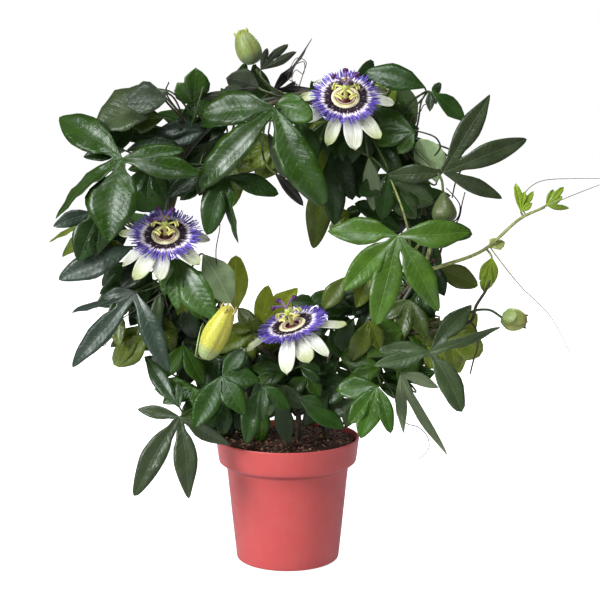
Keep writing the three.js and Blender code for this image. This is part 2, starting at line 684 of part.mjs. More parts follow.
// The ring of filaments as a flat plate cut into teeth at its edge
function coronaSolid() {
  const spot = (turn, radius) => new Vector3(
    radius * Math.cos(turn), radius * Math.sin(turn), CORONA_Z + CORONA_CUP * (radius / CORONA_REACH) ** 2);
  const points = [];
  const add = (turn, radius) => points.push(spot(turn, radius)) - 1;
  const step = (2 * Math.PI) / CORONA_TEETH;
  const teeth = Array.from({ length: CORONA_TEETH }, (_, k) => ({
    valley: add((k - 0.5) * step, CORONA_ROOT),
    tip: add(k * step, CORONA_REACH + (k % 2 ? 1 : -0.5)),
  }));
  const ring = Array.from({ length: CORONA_TEETH / 2 }, (_, k) => add(2 * k * step, CORONA_INNER));
  const triangles = [];
  const outline = [];
  teeth.forEach(({ valley, tip }, k) => {
    const nextValley = teeth[(k + 1) % CORONA_TEETH].valley;
    const inner = ring[Math.floor(((k + 1) % CORONA_TEETH) / 2)];
    triangles.push([valley, tip, nextValley], [inner, valley, nextValley]);
    if (k % 2 === 0) {
      triangles.push([inner, nextValley, ring[(k / 2 + 1) % ring.length]]);
    }
    outline.push(valley, tip);
  });
  const up = points.map(() => new Vector3(0, 0, 1));
  return thickened(points, up, triangles, [outline, [...ring].reverse()], TEPAL_THICKNESS);
}

function crownSolid() {
  const bottom = CORONA_Z - 0.4;
  return turned([
    [5.3, bottom], [CORONA_INNER - CLEARANCE, bottom], [CORONA_INNER - CLEARANCE, bottom + 1.2],
    [9.6, bottom + 2.7], [6.6, bottom + 2.3], [5.3, bottom + 1.1], [5.3, bottom],
  ], 10);
}

function straightRod(from, to, radius) {
  return rod(new THREE.LineCurve3(new Vector3(...from), new Vector3(...to)), radius, 3, 1);
}

// The central stalk with its ovary, and five drooping stamens
function columnSolid() {
  const bottom = CORONA_Z - 0.4;
  const solids = [turned([
    [0, bottom], [4.9, bottom], [4.4, bottom + 1], [1.7, bottom + 2.4],
    [1.6, 11.5], [2.6, 13.6], [1.6, 16.6], [0, 16.8],
  ], 6)];
  for (let k = 0; k < 5; k += 1) {
    const stamen = Manifold.union([
      straightRod([0.6, 0, 11], [8.2, 0, 11.6], 0.7),
      solidFrom(new THREE.BoxGeometry(2.2, 5.4, 1.5).translate(9, 0, 11)),
    ]);
    solids.push(stamen.rotate([0, 0, 72 * k + 36]));
  }
  return Manifold.union(solids);
}

// Three arms on the ovary, each ending in a small club
function stigmasSolid() {
  const solids = [turned([[0, 17.1], [1.5, 17.1], [1.2, 18.4], [0, 18.6]], 6)];
  for (let k = 0; k < 3; k += 1) {
    const arm = Manifold.union([
      straightRod([0.4, 0, 17.7], [7.6, 0, 19.6], 0.7),
      solidFrom(new THREE.OctahedronGeometry(1.7).translate(8.2, 0, 19.7)),
    ]);
    solids.push(arm.rotate([0, 0, 120 * k + 90]));
  }
  return Manifold.union(solids);
}

// A flower as a group whose Z axis is the way it faces
function bloomGroup({ name, centre, axis, turn, droop }) {
  const group = new THREE.Group();
  group.position.set(...centre);
  group.quaternion.setFromUnitVectors(new Vector3(0, 0, 1), new Vector3(...axis).normalize());
  group.rotateZ(radians(turn));
  group.add(
    piece(`${name}_tepals`, tepalsSolid(droop), PETAL_WHITE),
    piece(`${name}_corona`, coronaSolid(), CORONA_VIOLET),
    piece(`${name}_crown`, crownSolid(), CROWN_PURPLE),
    piece(`${name}_column`, columnSolid(), COLUMN_CREAM),
    piece(`${name}_stigmas`, stigmasSolid(), STIGMA_PURPLE));
  return group;
}

// A point some way along an axis from a start
function stepAlong(start, axis, distance) {
  return new Vector3(...start).addScaledVector(new Vector3(...axis).normalize(), distance).toArray();
}

// The stalk of a flower ends just behind its cup, and that of a bud just behind its base
function bloomStalk({ centre, axis, bend }) {
  return [bend, stepAlong(centre, axis, -(CUP_DEPTH + STALK_GAP))];
}

function budStalk({ base, tip, path }) {
  const axis = tip.map((value, k) => value - base[k]);
  return [...path, stepAlong(base, axis, -STALK_GAP)];
}

// A closed bud: an egg of eight sides, widest a little above its base
function budMesh({ name, base, tip, radius, material }) {
  const axis = new Vector3(...tip).sub(new Vector3(...base));
  const length = axis.length();
  const profile = BUD_PROFILE.map(([wide, along]) => [wide * radius, along * length]);
  const mesh = piece(name, turned(profile, 8), material);
  mesh.position.set(...base);
  mesh.quaternion.setFromUnitVectors(new Vector3(0, 0, 1), axis.normalize());
  return mesh;
}

// The young shoot, which starts at the surface of the stem that carries it
function shootSolid() {
  const carrier = STEMS.find((stem) => stem.name === SHOOT_CARRIER).curve;
  const next = new Vector3(...SHOOT_PATH[0]);
  const root = stalkRoot(carrier, next);
  const foot = stepAlong(root.toArray(), next.sub(root).toArray(), VINE_RADIUS + CLEARANCE);
  const stem = smoothCurve([foot, ...SHOOT_PATH]);
  const solids = [rod(stem, SHOOT_RADIUS, 5, 9)];
  for (const row of SHOOT_LEAVES) {
    solids.push(leafBlade(row), leafStalk(stem, row));
  }
  for (const points of TENDRILS) {
    const curve = smoothCurve([stalkRoot(stem, new Vector3(...points[0])).toArray(), ...points]);
    solids.push(rod(curve, TENDRIL_RADIUS, 3, 2 * points.length));
  }
  return fused(solids);
}

// The pot's shell with its drainage holes
function potSolid() {
  const shell = turned([
    [0, 0], [BASE_RADIUS - BASE_EDGE, 0], [BASE_RADIUS, BASE_EDGE], [SHOULDER_RADIUS, SHOULDER_Z],
    [BAND_RADIUS, BAND_Z], [LIP_RADIUS, POT_HEIGHT - 0.7], [LIP_RADIUS - 0.6, POT_HEIGHT],
    [LIP_RADIUS - POT_WALL, POT_HEIGHT - 0.4],
    ...innerWall(0).reverse(), [0, POT_FLOOR],
  ], POT_SIDES);
  const drains = Array.from({ length: DRAIN_COUNT }, (_, k) => {
    const angle = (2 * Math.PI * (k + 0.5)) / DRAIN_COUNT;
    const drain = new THREE.CylinderGeometry(DRAIN_RADIUS, DRAIN_RADIUS, 3 * POT_FLOOR, 8);
    drain.rotateX(Math.PI / 2);
    drain.translate(DRAIN_CIRCLE * Math.cos(angle), DRAIN_CIRCLE * Math.sin(angle), 0);
    return solidFrom(drain);
  });
  return shell.subtract(Manifold.union(drains));
}

// The inside of the pot from its floor up to under the band, set in by a gap
function innerWall(gap) {
  const inset = POT_WALL + 1.6 * gap;
  return [
    [BASE_RADIUS - inset, POT_FLOOR + gap], [SHOULDER_RADIUS - inset, SHOULDER_Z + 0.4],
    [BAND_RADIUS - inset, BAND_Z + 0.4],
  ];
}

// Peat that fills the pot, heaped in the middle, with plain holes for the stems and the hoop's legs
function soilSolid() {
  const peat = turned([
    [0, POT_FLOOR + CLEARANCE], ...innerWall(CLEARANCE), [LIP_RADIUS - POT_WALL - 1.2, SOIL_EDGE_Z],
    [30, SOIL_HEAP_Z - 2], [0, SOIL_HEAP_Z],
  ], POT_SIDES);
  const holes = STEMS.filter((stem) => stem.rooted)
    .map(({ curve }) => stemRod(curve, VINE_RADIUS + SOIL_GAP));
  holes.push(rod(new HoopCurve(), WIRE_RADIUS + SOIL_GAP, 5, HOOP_STEPS));
  return peat.subtract(Manifold.union(holes));
}

const plant = new THREE.Group();
plant.name = "potted_passion_flower";
plant.add(piece("pot", potSolid(), POT_RED), piece("soil", soilSolid(), SOIL_BROWN));
plant.add(piece("hoop", rod(new HoopCurve(), WIRE_RADIUS, 5, HOOP_STEPS), WIRE_GREY));
for (const bloom of BLOOMS) {
  plant.add(bloomGroup(bloom));
}
for (const bud of BUDS) {
  plant.add(budMesh(bud));
}
for (const stem of STEMS) {
  plant.add(piece(stem.name, stemSolid(stem), LEAF_GREEN));
}
plant.add(piece("young_shoot", shootSolid(), SHOOT_GREEN));

export default plant;
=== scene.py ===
# %% [markdown]
# # A potted passion flower
# The real thing is a climbing plant. Two woody stems wind round a wire hoop, a third stands between
# them, and all three are rooted in peat in a plastic pot. A plain solid model already says where
# every stem, leaf, flower and bud is. This lesson gives each of them its real surface.
#
# The solid model is loaded first, and its parts are kept, because what is made below has to keep to it.

# %% Load the solid model
import math
import random

import bpy
import numpy as np
from mathutils import Matrix, Vector, noise


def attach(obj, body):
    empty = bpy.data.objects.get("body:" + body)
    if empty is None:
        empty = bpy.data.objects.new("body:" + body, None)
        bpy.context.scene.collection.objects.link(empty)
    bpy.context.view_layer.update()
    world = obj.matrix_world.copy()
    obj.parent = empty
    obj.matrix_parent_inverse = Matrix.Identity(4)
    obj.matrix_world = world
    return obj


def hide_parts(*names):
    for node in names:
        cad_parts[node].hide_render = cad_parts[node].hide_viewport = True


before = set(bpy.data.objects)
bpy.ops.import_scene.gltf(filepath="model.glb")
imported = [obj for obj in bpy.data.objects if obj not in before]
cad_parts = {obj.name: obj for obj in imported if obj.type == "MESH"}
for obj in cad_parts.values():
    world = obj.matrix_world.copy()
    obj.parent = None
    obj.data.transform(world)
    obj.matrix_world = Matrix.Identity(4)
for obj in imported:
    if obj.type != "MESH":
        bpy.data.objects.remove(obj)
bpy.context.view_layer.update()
scene = bpy.context.scene
MM = 0.001

# %% [markdown]
# ## Camera, floor and light
# The photo was taken from a little above the flowers with a long lens, which keeps the ellipse of
# the pot's rim narrow. The light was soft and came mostly from the front and the left, in front of
# white paper. An even sky gives the soft part. Two large cool lamps, at the front left and above,
# draw the bluish sheen on the leaves, and one behind lights them from the back. The light that
# shines through thin leaves is painted into their tones.

# %% Camera, floor and light
EYE = np.array([10.4, -1200.0, 397.1])
VIEW_TILT = math.radians(8.46)
LENS = 88.2
SENSOR = 36
LAMP_AIM = Vector((0, 0, 0.25))
# Each lamp's place and size in metres, its power and its colour
SOFTBOXES = {
    "window_left": ((-1.6, -1.3, 1.1), 0.9, 56, (0.96, 0.98, 1.0)),
    "window_above": ((-0.1, -0.9, 1.9), 0.9, 27, (0.92, 0.96, 1.0)),
    "edge_light": ((0.5, 1.3, 1.3), 1.0, 18, (1.0, 1.0, 1.0)),
}
FLOOR_SIZE = 8
FLOOR_PLACE = (0, 2.2, -0.0004)


def add_camera():
    data = bpy.data.cameras.new("photo_camera")
    data.sensor_width = SENSOR
    data.lens = LENS
    camera = bpy.data.objects.new("photo_camera", data)
    camera.location = EYE * MM
    camera.rotation_euler = (math.pi / 2 - VIEW_TILT, 0, 0)
    scene.collection.objects.link(camera)
    scene.camera = camera


def add_softbox(name, location, size, power, colour):
    data = bpy.data.lights.new(name, "AREA")
    data.shape = "DISK"
    data.size = size
    data.energy = power
    data.color = colour
    lamp = bpy.data.objects.new(name, data)
    lamp.location = location
    lamp.rotation_euler = (LAMP_AIM - lamp.location).to_track_quat("-Z", "Y").to_euler()
    scene.collection.objects.link(lamp)


def glow(tree, target, seen, cast):
    """White light of one strength where the camera sees it, and of another where it lights the plant"""
    rays = tree.nodes.new("ShaderNodeLightPath")
    strength = tree.nodes.new("ShaderNodeMapRange")
    strength.inputs["To Min"].default_value = cast
    strength.inputs["To Max"].default_value = seen
    tree.links.new(rays.outputs["Is Camera Ray"], strength.inputs["Value"])
    tree.links.new(strength.outputs["Result"], target)


def add_sky(seen, cast):
    world = bpy.data.worlds.new("studio")
    world.use_nodes = True
    sky = world.node_tree.nodes["Background"]
    sky.inputs["Color"].default_value = (1, 1, 1, 1)
    glow(world.node_tree, sky.inputs["Strength"], seen, cast)
    scene.world = world


def lit_paper(seen, cast):
    """White paper that glows where the camera sees it, so that it keeps only a faint shadow"""
    material = bpy.data.materials.new("lit_paper")
    material.use_nodes = True
    shader = material.node_tree.nodes["Principled BSDF"]
    shader.inputs["Base Color"].default_value = (0.6, 0.6, 0.6, 1)
    shader.inputs["Roughness"].default_value = 1.0
    shader.inputs["Emission Color"].default_value = (1, 1, 1, 1)
    glow(material.node_tree, shader.inputs["Emission Strength"], seen, cast)
    return material


def deselect_all():
    if bpy.context.object and bpy.context.object.mode != "OBJECT":
        bpy.ops.object.mode_set(mode="OBJECT")
    bpy.ops.object.select_all(action="DESELECT")


add_camera()
for lamp_name, settings in SOFTBOXES.items():
    add_softbox(lamp_name, *settings)
add_sky(seen=1.0, cast=0.22)
scene.view_settings.view_transform = "Standard"

deselect_all()
bpy.ops.mesh.primitive_plane_add(size=FLOOR_SIZE, location=FLOOR_PLACE)
floor = bpy.context.object
floor.name = "studio_floor"
floor.data.materials.append(lit_paper(seen=0.9, cast=0.0))
print("camera at", tuple(scene.camera.location))

# %% [markdown]
# ## Sizes, in millimetres
# The hoop, the stems and the leaves are laid out from the same numbers as the solid model, so that
# each fine piece lies where the solid is that it stands for. Most steps below share five small
# functions, and `polar` is the one for all that goes round in a ring.

# %% Sizes
POT_FLOOR = 2.5
DRAIN_COUNT = 6
DRAIN_CIRCLE = 27
DRAIN_RADIUS = 4
HOOP_CENTRE = (7, 278)
HOOP_RADIUS = 107
HOOP_LEG_X = 33
HOOP_BEND = 12
HOOP_FOOT_Z = 55
WIRE_RADIUS = 1.6
VINE_RADIUS = 2.2
VINE_OFFSET = 4.7
VINE_PITCH = 110
VINE_FOOT_Z = 86
VINE_GAP = 0.4
STALK_RADIUS = 0.85
TENDRIL_RADIUS = 0.42
BLADE_THICKNESS = 0.35


def unit(vector):
    return vector / np.linalg.norm(vector)


def smoothstep(value):
    value = min(max(value, 0.0), 1.0)
    return value * value * (3 - 2 * value)


def mix(low, high, share):
    return low + (high - low) * share


def polar(radius, angle, height=0.0):
    return np.array([radius * math.cos(angle), radius * math.sin(angle), height])


def tint(text):
    """A colour written as on the web, in the linear values that a shader needs"""
    parts = [int(text[k:k + 2], 16) / 255 for k in (1, 3, 5)]
    return np.array([part / 12.92 if part < 0.04045 else ((part + 0.055) / 1.055) ** 2.4 for part in parts])


print("ring of the hoop:", 2 * HOOP_RADIUS, "mm across")

# %% [markdown]
# ## Shader groups
# Three effects come back in several materials, so each is a group that is built once. `leaf_veins`
# draws a midrib and slanting side veins from a lobe's own map, whose units are decimetres: V runs
# along the lobe and U = 0.5 is its midrib. `mottle` gives soft patches of light and dark, and
# `streaks` gives fine lines that run along a petal, a stalk or a thread.

# %% Helpers for shader nodes
FACTOR, VECTOR = "NodeSocketFloat", "NodeSocketVector"


def add_node(tree, kind, **settings):
    node = tree.nodes.new(kind)
    for name, value in settings.items():
        setattr(node, name, value)
    return node


def plug(tree, source, target):
    """Links a socket to a socket, or writes a plain value to it"""
    if isinstance(source, bpy.types.NodeSocket):
        tree.links.new(source, target)
    else:
        target.default_value = source


def maths(tree, operation, *values):
    node = add_node(tree, "ShaderNodeMath", operation=operation)
    for value, socket in zip(values, node.inputs):
        plug(tree, value, socket)
    return node.outputs[0]


def ease_between(tree, value, low, high):
    """0 below the low edge and 1 above the high one, with a soft step between them"""
    node = add_node(tree, "ShaderNodeMapRange", interpolation_type="SMOOTHSTEP")
    plug(tree, value, node.inputs["Value"])
    node.inputs["From Min"].default_value = low
    node.inputs["From Max"].default_value = high
    return node.outputs["Result"]


def mix_colour(tree, share, first, second):
    """The colour sockets of a Mix node are its inputs 6 and 7 and its output 2"""
    node = add_node(tree, "ShaderNodeMix", data_type="RGBA")
    for source, socket in ((share, 0), (first, 6), (second, 7)):
        plug(tree, source, node.inputs[socket])
    return node.outputs[2]


def scale_colour(tree, colour, factor):
    node = add_node(tree, "ShaderNodeVectorMath", operation="SCALE")
    plug(tree, colour, node.inputs[0])
    plug(tree, factor, node.inputs["Scale"])
    return node.outputs[0]


def new_group(name, inputs, outputs):
    tree = bpy.data.node_groups.new(name, "ShaderNodeTree")
    for label, kind in inputs.items():
        tree.interface.new_socket(name=label, in_out="INPUT", socket_type=kind)
    for label, kind in outputs.items():
        tree.interface.new_socket(name=label, in_out="OUTPUT", socket_type=kind)
    return tree, add_node(tree, "NodeGroupInput"), add_node(tree, "NodeGroupOutput")


def use_group(tree, group, **inputs):
    node = add_node(tree, "ShaderNodeGroup", node_tree=group)
    for name, value in inputs.items():
        plug(tree, value, node.inputs[name.replace("_", " ")])
    return node


# %% Veins of a leaf lobe
MIDRIB_EDGE = (0.001, 0.006)
VEIN_SPACING = 0.052
VEIN_SLANT = 0.85
VEIN_EDGE = (0.43, 0.5)
LEFT_SIDE_SHIFT = 0.45


def make_leaf_veins():
    tree, start, end = new_group(
        "leaf_veins", {"Map": VECTOR}, {"Midrib": FACTOR, "Side Veins": FACTOR, "Quilting": FACTOR})
    split = add_node(tree, "ShaderNodeSeparateXYZ")
    plug(tree, start.outputs["Map"], split.inputs[0])
    aside = maths(tree, "SUBTRACT", split.outputs["X"], 0.5)
    away = maths(tree, "ABSOLUTE", aside)
    midrib = maths(tree, "SUBTRACT", 1.0, ease_between(tree, away, *MIDRIB_EDGE))
    lean = maths(tree, "SUBTRACT", split.outputs["Y"], maths(tree, "MULTIPLY", away, VEIN_SLANT))
    shift = maths(tree, "MULTIPLY", maths(tree, "GREATER_THAN", aside, 0.0), LEFT_SIDE_SHIFT)
    count = maths(tree, "ADD", maths(tree, "DIVIDE", lean, VEIN_SPACING), shift)
    ramp = maths(tree, "ABSOLUTE", maths(tree, "SUBTRACT", maths(tree, "FRACT", count), 0.5))
    lines = ease_between(tree, ramp, *VEIN_EDGE)
    pillow = maths(tree, "SUBTRACT", 1.0, maths(tree, "POWER", maths(tree, "MULTIPLY", ramp, 2.0), 3.0))
    plug(tree, midrib, end.inputs["Midrib"])
    plug(tree, lines, end.inputs["Side Veins"])
    plug(tree, pillow, end.inputs["Quilting"])
    return tree


LEAF_VEINS = make_leaf_veins()
print(LEAF_VEINS.name, "has", len(LEAF_VEINS.nodes), "nodes")

# %% Soft patches, and lines along a piece
def make_mottle():
    tree, start, end = new_group(
        "mottle", {"Place": VECTOR, "Size": FACTOR, "Low": FACTOR, "High": FACTOR},
        {"Factor": FACTOR, "Height": FACTOR})
    noise_node = add_node(tree, "ShaderNodeTexNoise")
    noise_node.inputs["Detail"].default_value = 4
    plug(tree, start.outputs["Place"], noise_node.inputs["Vector"])
    plug(tree, maths(tree, "DIVIDE", 1.0, start.outputs["Size"]), noise_node.inputs["Scale"])
    span = add_node(tree, "ShaderNodeMapRange")
    plug(tree, noise_node.outputs["Fac"], span.inputs["Value"])
    span.inputs["From Min"].default_value = 0.3
    span.inputs["From Max"].default_value = 0.7
    plug(tree, start.outputs["Low"], span.inputs["To Min"])
    plug(tree, start.outputs["High"], span.inputs["To Max"])
    plug(tree, span.outputs["Result"], end.inputs["Factor"])
    plug(tree, noise_node.outputs["Fac"], end.inputs["Height"])
    return tree


def make_streaks():
    tree, start, end = new_group(
        "streaks", {"Map": VECTOR, "Across": FACTOR, "Along": FACTOR}, {"Line": FACTOR})
    stretch = add_node(tree, "ShaderNodeCombineXYZ")
    plug(tree, start.outputs["Across"], stretch.inputs["X"])
    plug(tree, start.outputs["Along"], stretch.inputs["Y"])
    product = add_node(tree, "ShaderNodeVectorMath", operation="MULTIPLY")
    plug(tree, start.outputs["Map"], product.inputs[0])
    plug(tree, stretch.outputs[0], product.inputs[1])
    noise_node = add_node(tree, "ShaderNodeTexNoise", noise_dimensions="2D")
    noise_node.inputs["Scale"].default_value = 1
    noise_node.inputs["Detail"].default_value = 2
    plug(tree, product.outputs[0], noise_node.inputs["Vector"])
    plug(tree, ease_between(tree, noise_node.outputs["Fac"], 0.42, 0.62), end.inputs["Line"])
    return tree


MOTTLE = make_mottle()
STREAKS = make_streaks()
print(MOTTLE.name, "has", len(MOTTLE.nodes), "nodes,", STREAKS.name, "has", len(STREAKS.nodes))

# %% [markdown]
# ## Materials of leaves and stems
# A passion flower's leaf is leathery: deep green and satin above, and pale and dull below. A coat of
# wax lies on its upper side in uneven patches, and where it is thick it mirrors the sky as a pale
# sheen. No two leaves have the same green, so each carries its own tone as a colour attribute, and
# the materials only vary it with veins and patches. Some tones also hold painted light and painted
# shade, as the list of greens says. Small ripples in the bump make it uneven.

# %% Materials of leaves and stems
def new_material(name):
    material = bpy.data.materials.new(name)
    material.use_nodes = True
    tree = material.node_tree
    return material, tree, tree.nodes["Principled BSDF"]


def own_tone(tree):
    return add_node(tree, "ShaderNodeAttribute", attribute_name="tone").outputs["Color"]


def object_place(tree):
    return add_node(tree, "ShaderNodeTexCoord").outputs["Object"]


def own_map(tree):
    return add_node(tree, "ShaderNodeUVMap", uv_map="UVMap").outputs["UV"]


def add_bump(tree, shader, height, distance):
    bump = add_node(tree, "ShaderNodeBump")
    bump.inputs["Distance"].default_value = distance
    plug(tree, height, bump.inputs["Height"])
    plug(tree, bump.outputs["Normal"], shader.inputs["Normal"])


def set_values(shader, **values):
    for name, value in values.items():
        shader.inputs[name.replace("_", " ")].default_value = value


def draw_veins(tree, veins, colour, brightness):
    """Lays the leaf's side veins faintly, and its midrib clearly, over a colour"""
    pale = scale_colour(tree, own_tone(tree), brightness)
    for line, share in (("Side Veins", 0.15), ("Midrib", 0.5)):
        colour = mix_colour(tree, maths(tree, "MULTIPLY", veins.outputs[line], share), colour, pale)
    return colour


def make_leaf_upper():
    material, tree, shader = new_material("leaf_upper")
    place = object_place(tree)
    veins = use_group(tree, LEAF_VEINS, Map=own_map(tree))
    patches = use_group(tree, MOTTLE, Place=place, Size=0.014, Low=0.7, High=1.2)
    colour = scale_colour(tree, own_tone(tree), patches.outputs["Factor"])
    plug(tree, draw_veins(tree, veins, colour, brightness=2.0), shader.inputs["Base Color"])
    wax = use_group(tree, MOTTLE, Place=place, Size=0.022, Low=0.05, High=0.8)
    plug(tree, maths(tree, "POWER", wax.outputs["Factor"], 2.0), shader.inputs["Coat Weight"])
    satin = use_group(tree, MOTTLE, Place=place, Size=0.018, Low=0.24, High=0.4)
    plug(tree, satin.outputs["Factor"], shader.inputs["Roughness"])
    # The faint green tint of the reflections is a painted reflection, for the green light that the leaves
    # around throw.
    set_values(shader, Coat_Roughness=0.34, Coat_IOR=1.65, Specular_IOR_Level=0.2,
               Specular_Tint=(0.88, 1.0, 0.88, 1))
    ripples = use_group(tree, MOTTLE, Place=place, Size=0.0065, Low=0.0, High=1.0)
    relief = maths(tree, "SUBTRACT", maths(tree, "MULTIPLY", veins.outputs["Quilting"], 0.3),
                   maths(tree, "MULTIPLY", veins.outputs["Midrib"], 0.6))
    relief = maths(tree, "ADD", relief, ripples.outputs["Factor"])
    add_bump(tree, shader, relief, 0.00042)
    return material


def make_leaf_under():
    material, tree, shader = new_material("leaf_under")
    veins = use_group(tree, LEAF_VEINS, Map=own_map(tree))
    patches = use_group(tree, MOTTLE, Place=object_place(tree), Size=0.012, Low=0.0, High=0.25)
    dull = scale_colour(tree, own_tone(tree), 1.3)
    bloom = (*tint("#5f7852") * 0.5, 1)
    colour = mix_colour(tree, maths(tree, "ADD", patches.outputs["Factor"], 0.05), dull, bloom)
    plug(tree, draw_veins(tree, veins, colour, brightness=2.2), shader.inputs["Base Color"])
    # The green tint of the reflections is a painted reflection, for the green light that the leaves around
    # throw on the undersides.
    set_values(shader, Roughness=0.6, Specular_IOR_Level=0.25, Specular_Tint=(0.75, 1.0, 0.6, 1))
    low_ribs = maths(tree, "MULTIPLY", veins.outputs["Side Veins"], 0.5)
    add_bump(tree, shader, maths(tree, "ADD", veins.outputs["Midrib"], low_ribs), 0.0004)
    return material


def make_stalk_skin():
    material, tree, shader = new_material("stalk_skin")
    lines = use_group(tree, STREAKS, Map=own_map(tree), Across=9.0, Along=25.0)
    patches = use_group(tree, MOTTLE, Place=object_place(tree), Size=0.006, Low=0.7, High=1.3)
    colour = scale_colour(tree, own_tone(tree), patches.outputs["Factor"])
    dark = scale_colour(tree, colour, 0.6)
    plug(tree, mix_colour(tree, lines.outputs["Line"], dark, colour), shader.inputs["Base Color"])
    set_values(shader, Roughness=0.5)
    add_bump(tree, shader, lines.outputs["Line"], 0.0003)
    return material


LEAF_UPPER = make_leaf_upper()
LEAF_UNDER = make_leaf_under()
STALK_SKIN = make_stalk_skin()

# Greens seen in the photo, from the deep green of the top leaves to the lime of those that the light
# shines through, and the browns of dry twigs. Lime and sun are painted light that shines through
# thin leaves, mint is painted light on leaves that face away from the lamps, and the deep and dark
# greens are partly the leaves' own green and partly painted shade on leaves in the shadow of others
LIGHT_SHARE = 0.55
TONES = {name: tint(text) * LIGHT_SHARE for name, text in {
    "mid": "#406618", "rich": "#2b4a08", "fresh": "#557c24", "dark": "#2f5016", "deep": "#1c340c",
    "olive": "#66781c", "moss": "#4c6020", "lime": "#8ca030", "grey": "#46523e", "dusk": "#465434",
    "blue": "#3a4a3c", "pale": "#566b42", "sage": "#84926f", "mint": "#bcd69e", "bright": "#8fab2c",
    "sun": "#b6c63c", "young": "#d2da80", "umber": "#34322f", "wood": "#5f5430", "stalk": "#647c34",
    "twig": "#5a3f2e", "tendril": "#b5b3a6",
}.items()}
print("leaf tones:", ", ".join(TONES))

# %% [markdown]
# ## The hoop and the way the stems wind round it
# The hoop is one wire: a leg, a small bend, most of a circle, a bend and the other leg. Every stem is
# placed by how far along that wire it has come, so the wire is written as a function of distance. A
# vine keeps beside it and turns round it once every eleven centimetres, as a climbing stem does when
# a grower winds it on.

# %% The hoop's line and the vines' paths
def hoop_sections():
    """Each section's length and a function that gives its point and direction at a distance"""
    reach = HOOP_RADIUS + HOOP_BEND
    centre_x, centre_z = HOOP_CENTRE
    bend_x = HOOP_LEG_X + HOOP_BEND
    left_z = centre_z - math.sqrt(reach ** 2 - (centre_x + bend_x) ** 2)
    right_z = centre_z - math.sqrt(reach ** 2 - (centre_x - bend_x) ** 2)
    left_angle = math.atan2(centre_z - left_z, centre_x + bend_x)
    right_angle = math.atan2(right_z - centre_z, bend_x - centre_x)

    def leg(x, z, rise):
        return lambda at: (np.array([x, z + rise * at]), np.array([0.0, float(rise)]))

    def arc(x, z, radius, start, turn):
        def place(at):
            angle = start + turn * at / radius
            ray = np.array([math.cos(angle), math.sin(angle)])
            return np.array([x, z]) + radius * ray, turn * np.array([-ray[1], ray[0]])
        return place

    ring_start = left_angle + math.pi
    return [
        (left_z - HOOP_FOOT_Z, leg(-HOOP_LEG_X, HOOP_FOOT_Z, 1)),
        (HOOP_BEND * left_angle, arc(-bend_x, left_z, HOOP_BEND, 0, 1)),
        (HOOP_RADIUS * (ring_start - right_angle), arc(centre_x, centre_z, HOOP_RADIUS, ring_start, -1)),
        (HOOP_BEND * -right_angle, arc(bend_x, right_z, HOOP_BEND, right_angle + math.pi, 1)),
        (right_z - HOOP_FOOT_Z, leg(HOOP_LEG_X, right_z, -1)),
    ], ring_start


HOOP_SECTIONS, RING_START_ANGLE = hoop_sections()
HOOP_LENGTH = sum(length for length, place in HOOP_SECTIONS)


def hoop_at(distance):
    for length, place in HOOP_SECTIONS:
        if distance <= length or place is HOOP_SECTIONS[-1][1]:
            return place(distance)
        distance -= length


def along_ring(angle):
    """Distance along the wire at which the ring passes an angle, counterclockwise from the right"""
    before = HOOP_SECTIONS[0][0] + HOOP_SECTIONS[1][0]
    return before + HOOP_RADIUS * (RING_START_ANGLE - math.radians(angle))


def vine_path(start, end, phase):
    def outward(share):
        distance = start + share * (end - start)
        tangent = hoop_at(distance)[1]
        turn = 2 * math.pi * distance / VINE_PITCH + phase
        return np.array([-tangent[1] * math.cos(turn), math.sin(turn), tangent[0] * math.cos(turn)])

    def place(share):
        x, z = hoop_at(start + share * (end - start))[0]
        return np.array([x, 0.0, z]) + VINE_OFFSET * outward(share)

    place.outward = outward
    return place


def smooth_path(points):
    """A centripetal Catmull-Rom curve through points, which overshoots less than an even one"""
    points = [np.array(point, float) for point in points]
    points = [2 * points[0] - points[1], *points, 2 * points[-1] - points[-2]]

    def place(share):
        spans = len(points) - 3
        at = min(share, 1 - 1e-9) * spans
        k = int(at)
        p0, p1, p2, p3 = points[k:k + 4]
        knots = [0.0]
        for first, second in ((p0, p1), (p1, p2), (p2, p3)):
            knots.append(knots[-1] + max(np.linalg.norm(second - first), 1e-6) ** 0.5)
        t = knots[1] + (knots[2] - knots[1]) * (at - k)

        def between(low, high, first, second):
            return ((knots[high] - t) * first + (t - knots[low]) * second) / (knots[high] - knots[low])

        a1, a2, a3 = between(0, 1, p0, p1), between(1, 2, p1, p2), between(2, 3, p2, p3)
        b1, b2 = between(0, 2, a1, a2), between(1, 3, a2, a3)
        return between(1, 2, b1, b2)

    return place


def left_vine(start, end):
    return vine_path(start, end - VINE_GAP, 0)


def right_vine(start, end):
    return vine_path(start, end + VINE_GAP, math.pi)


LEFT_FOOT = VINE_FOOT_Z - HOOP_FOOT_Z
RIGHT_FOOT = HOOP_LENGTH - LEFT_FOOT
print("hoop wire:", round(HOOP_LENGTH, 1), "mm long")

# %% [markdown]
# ## Gathering small parts into one mesh
# A leafy stem has some thirty leaves, each with its own bend. Modelled one by one with edit-mode
# tools they would all be alike, so their points are worked out by formula and gathered in a `Sheet`,
# which becomes one mesh. Stalks, tendrils and the wire are tubes drawn along a path. A map has
# decimetres as its unit along a piece.

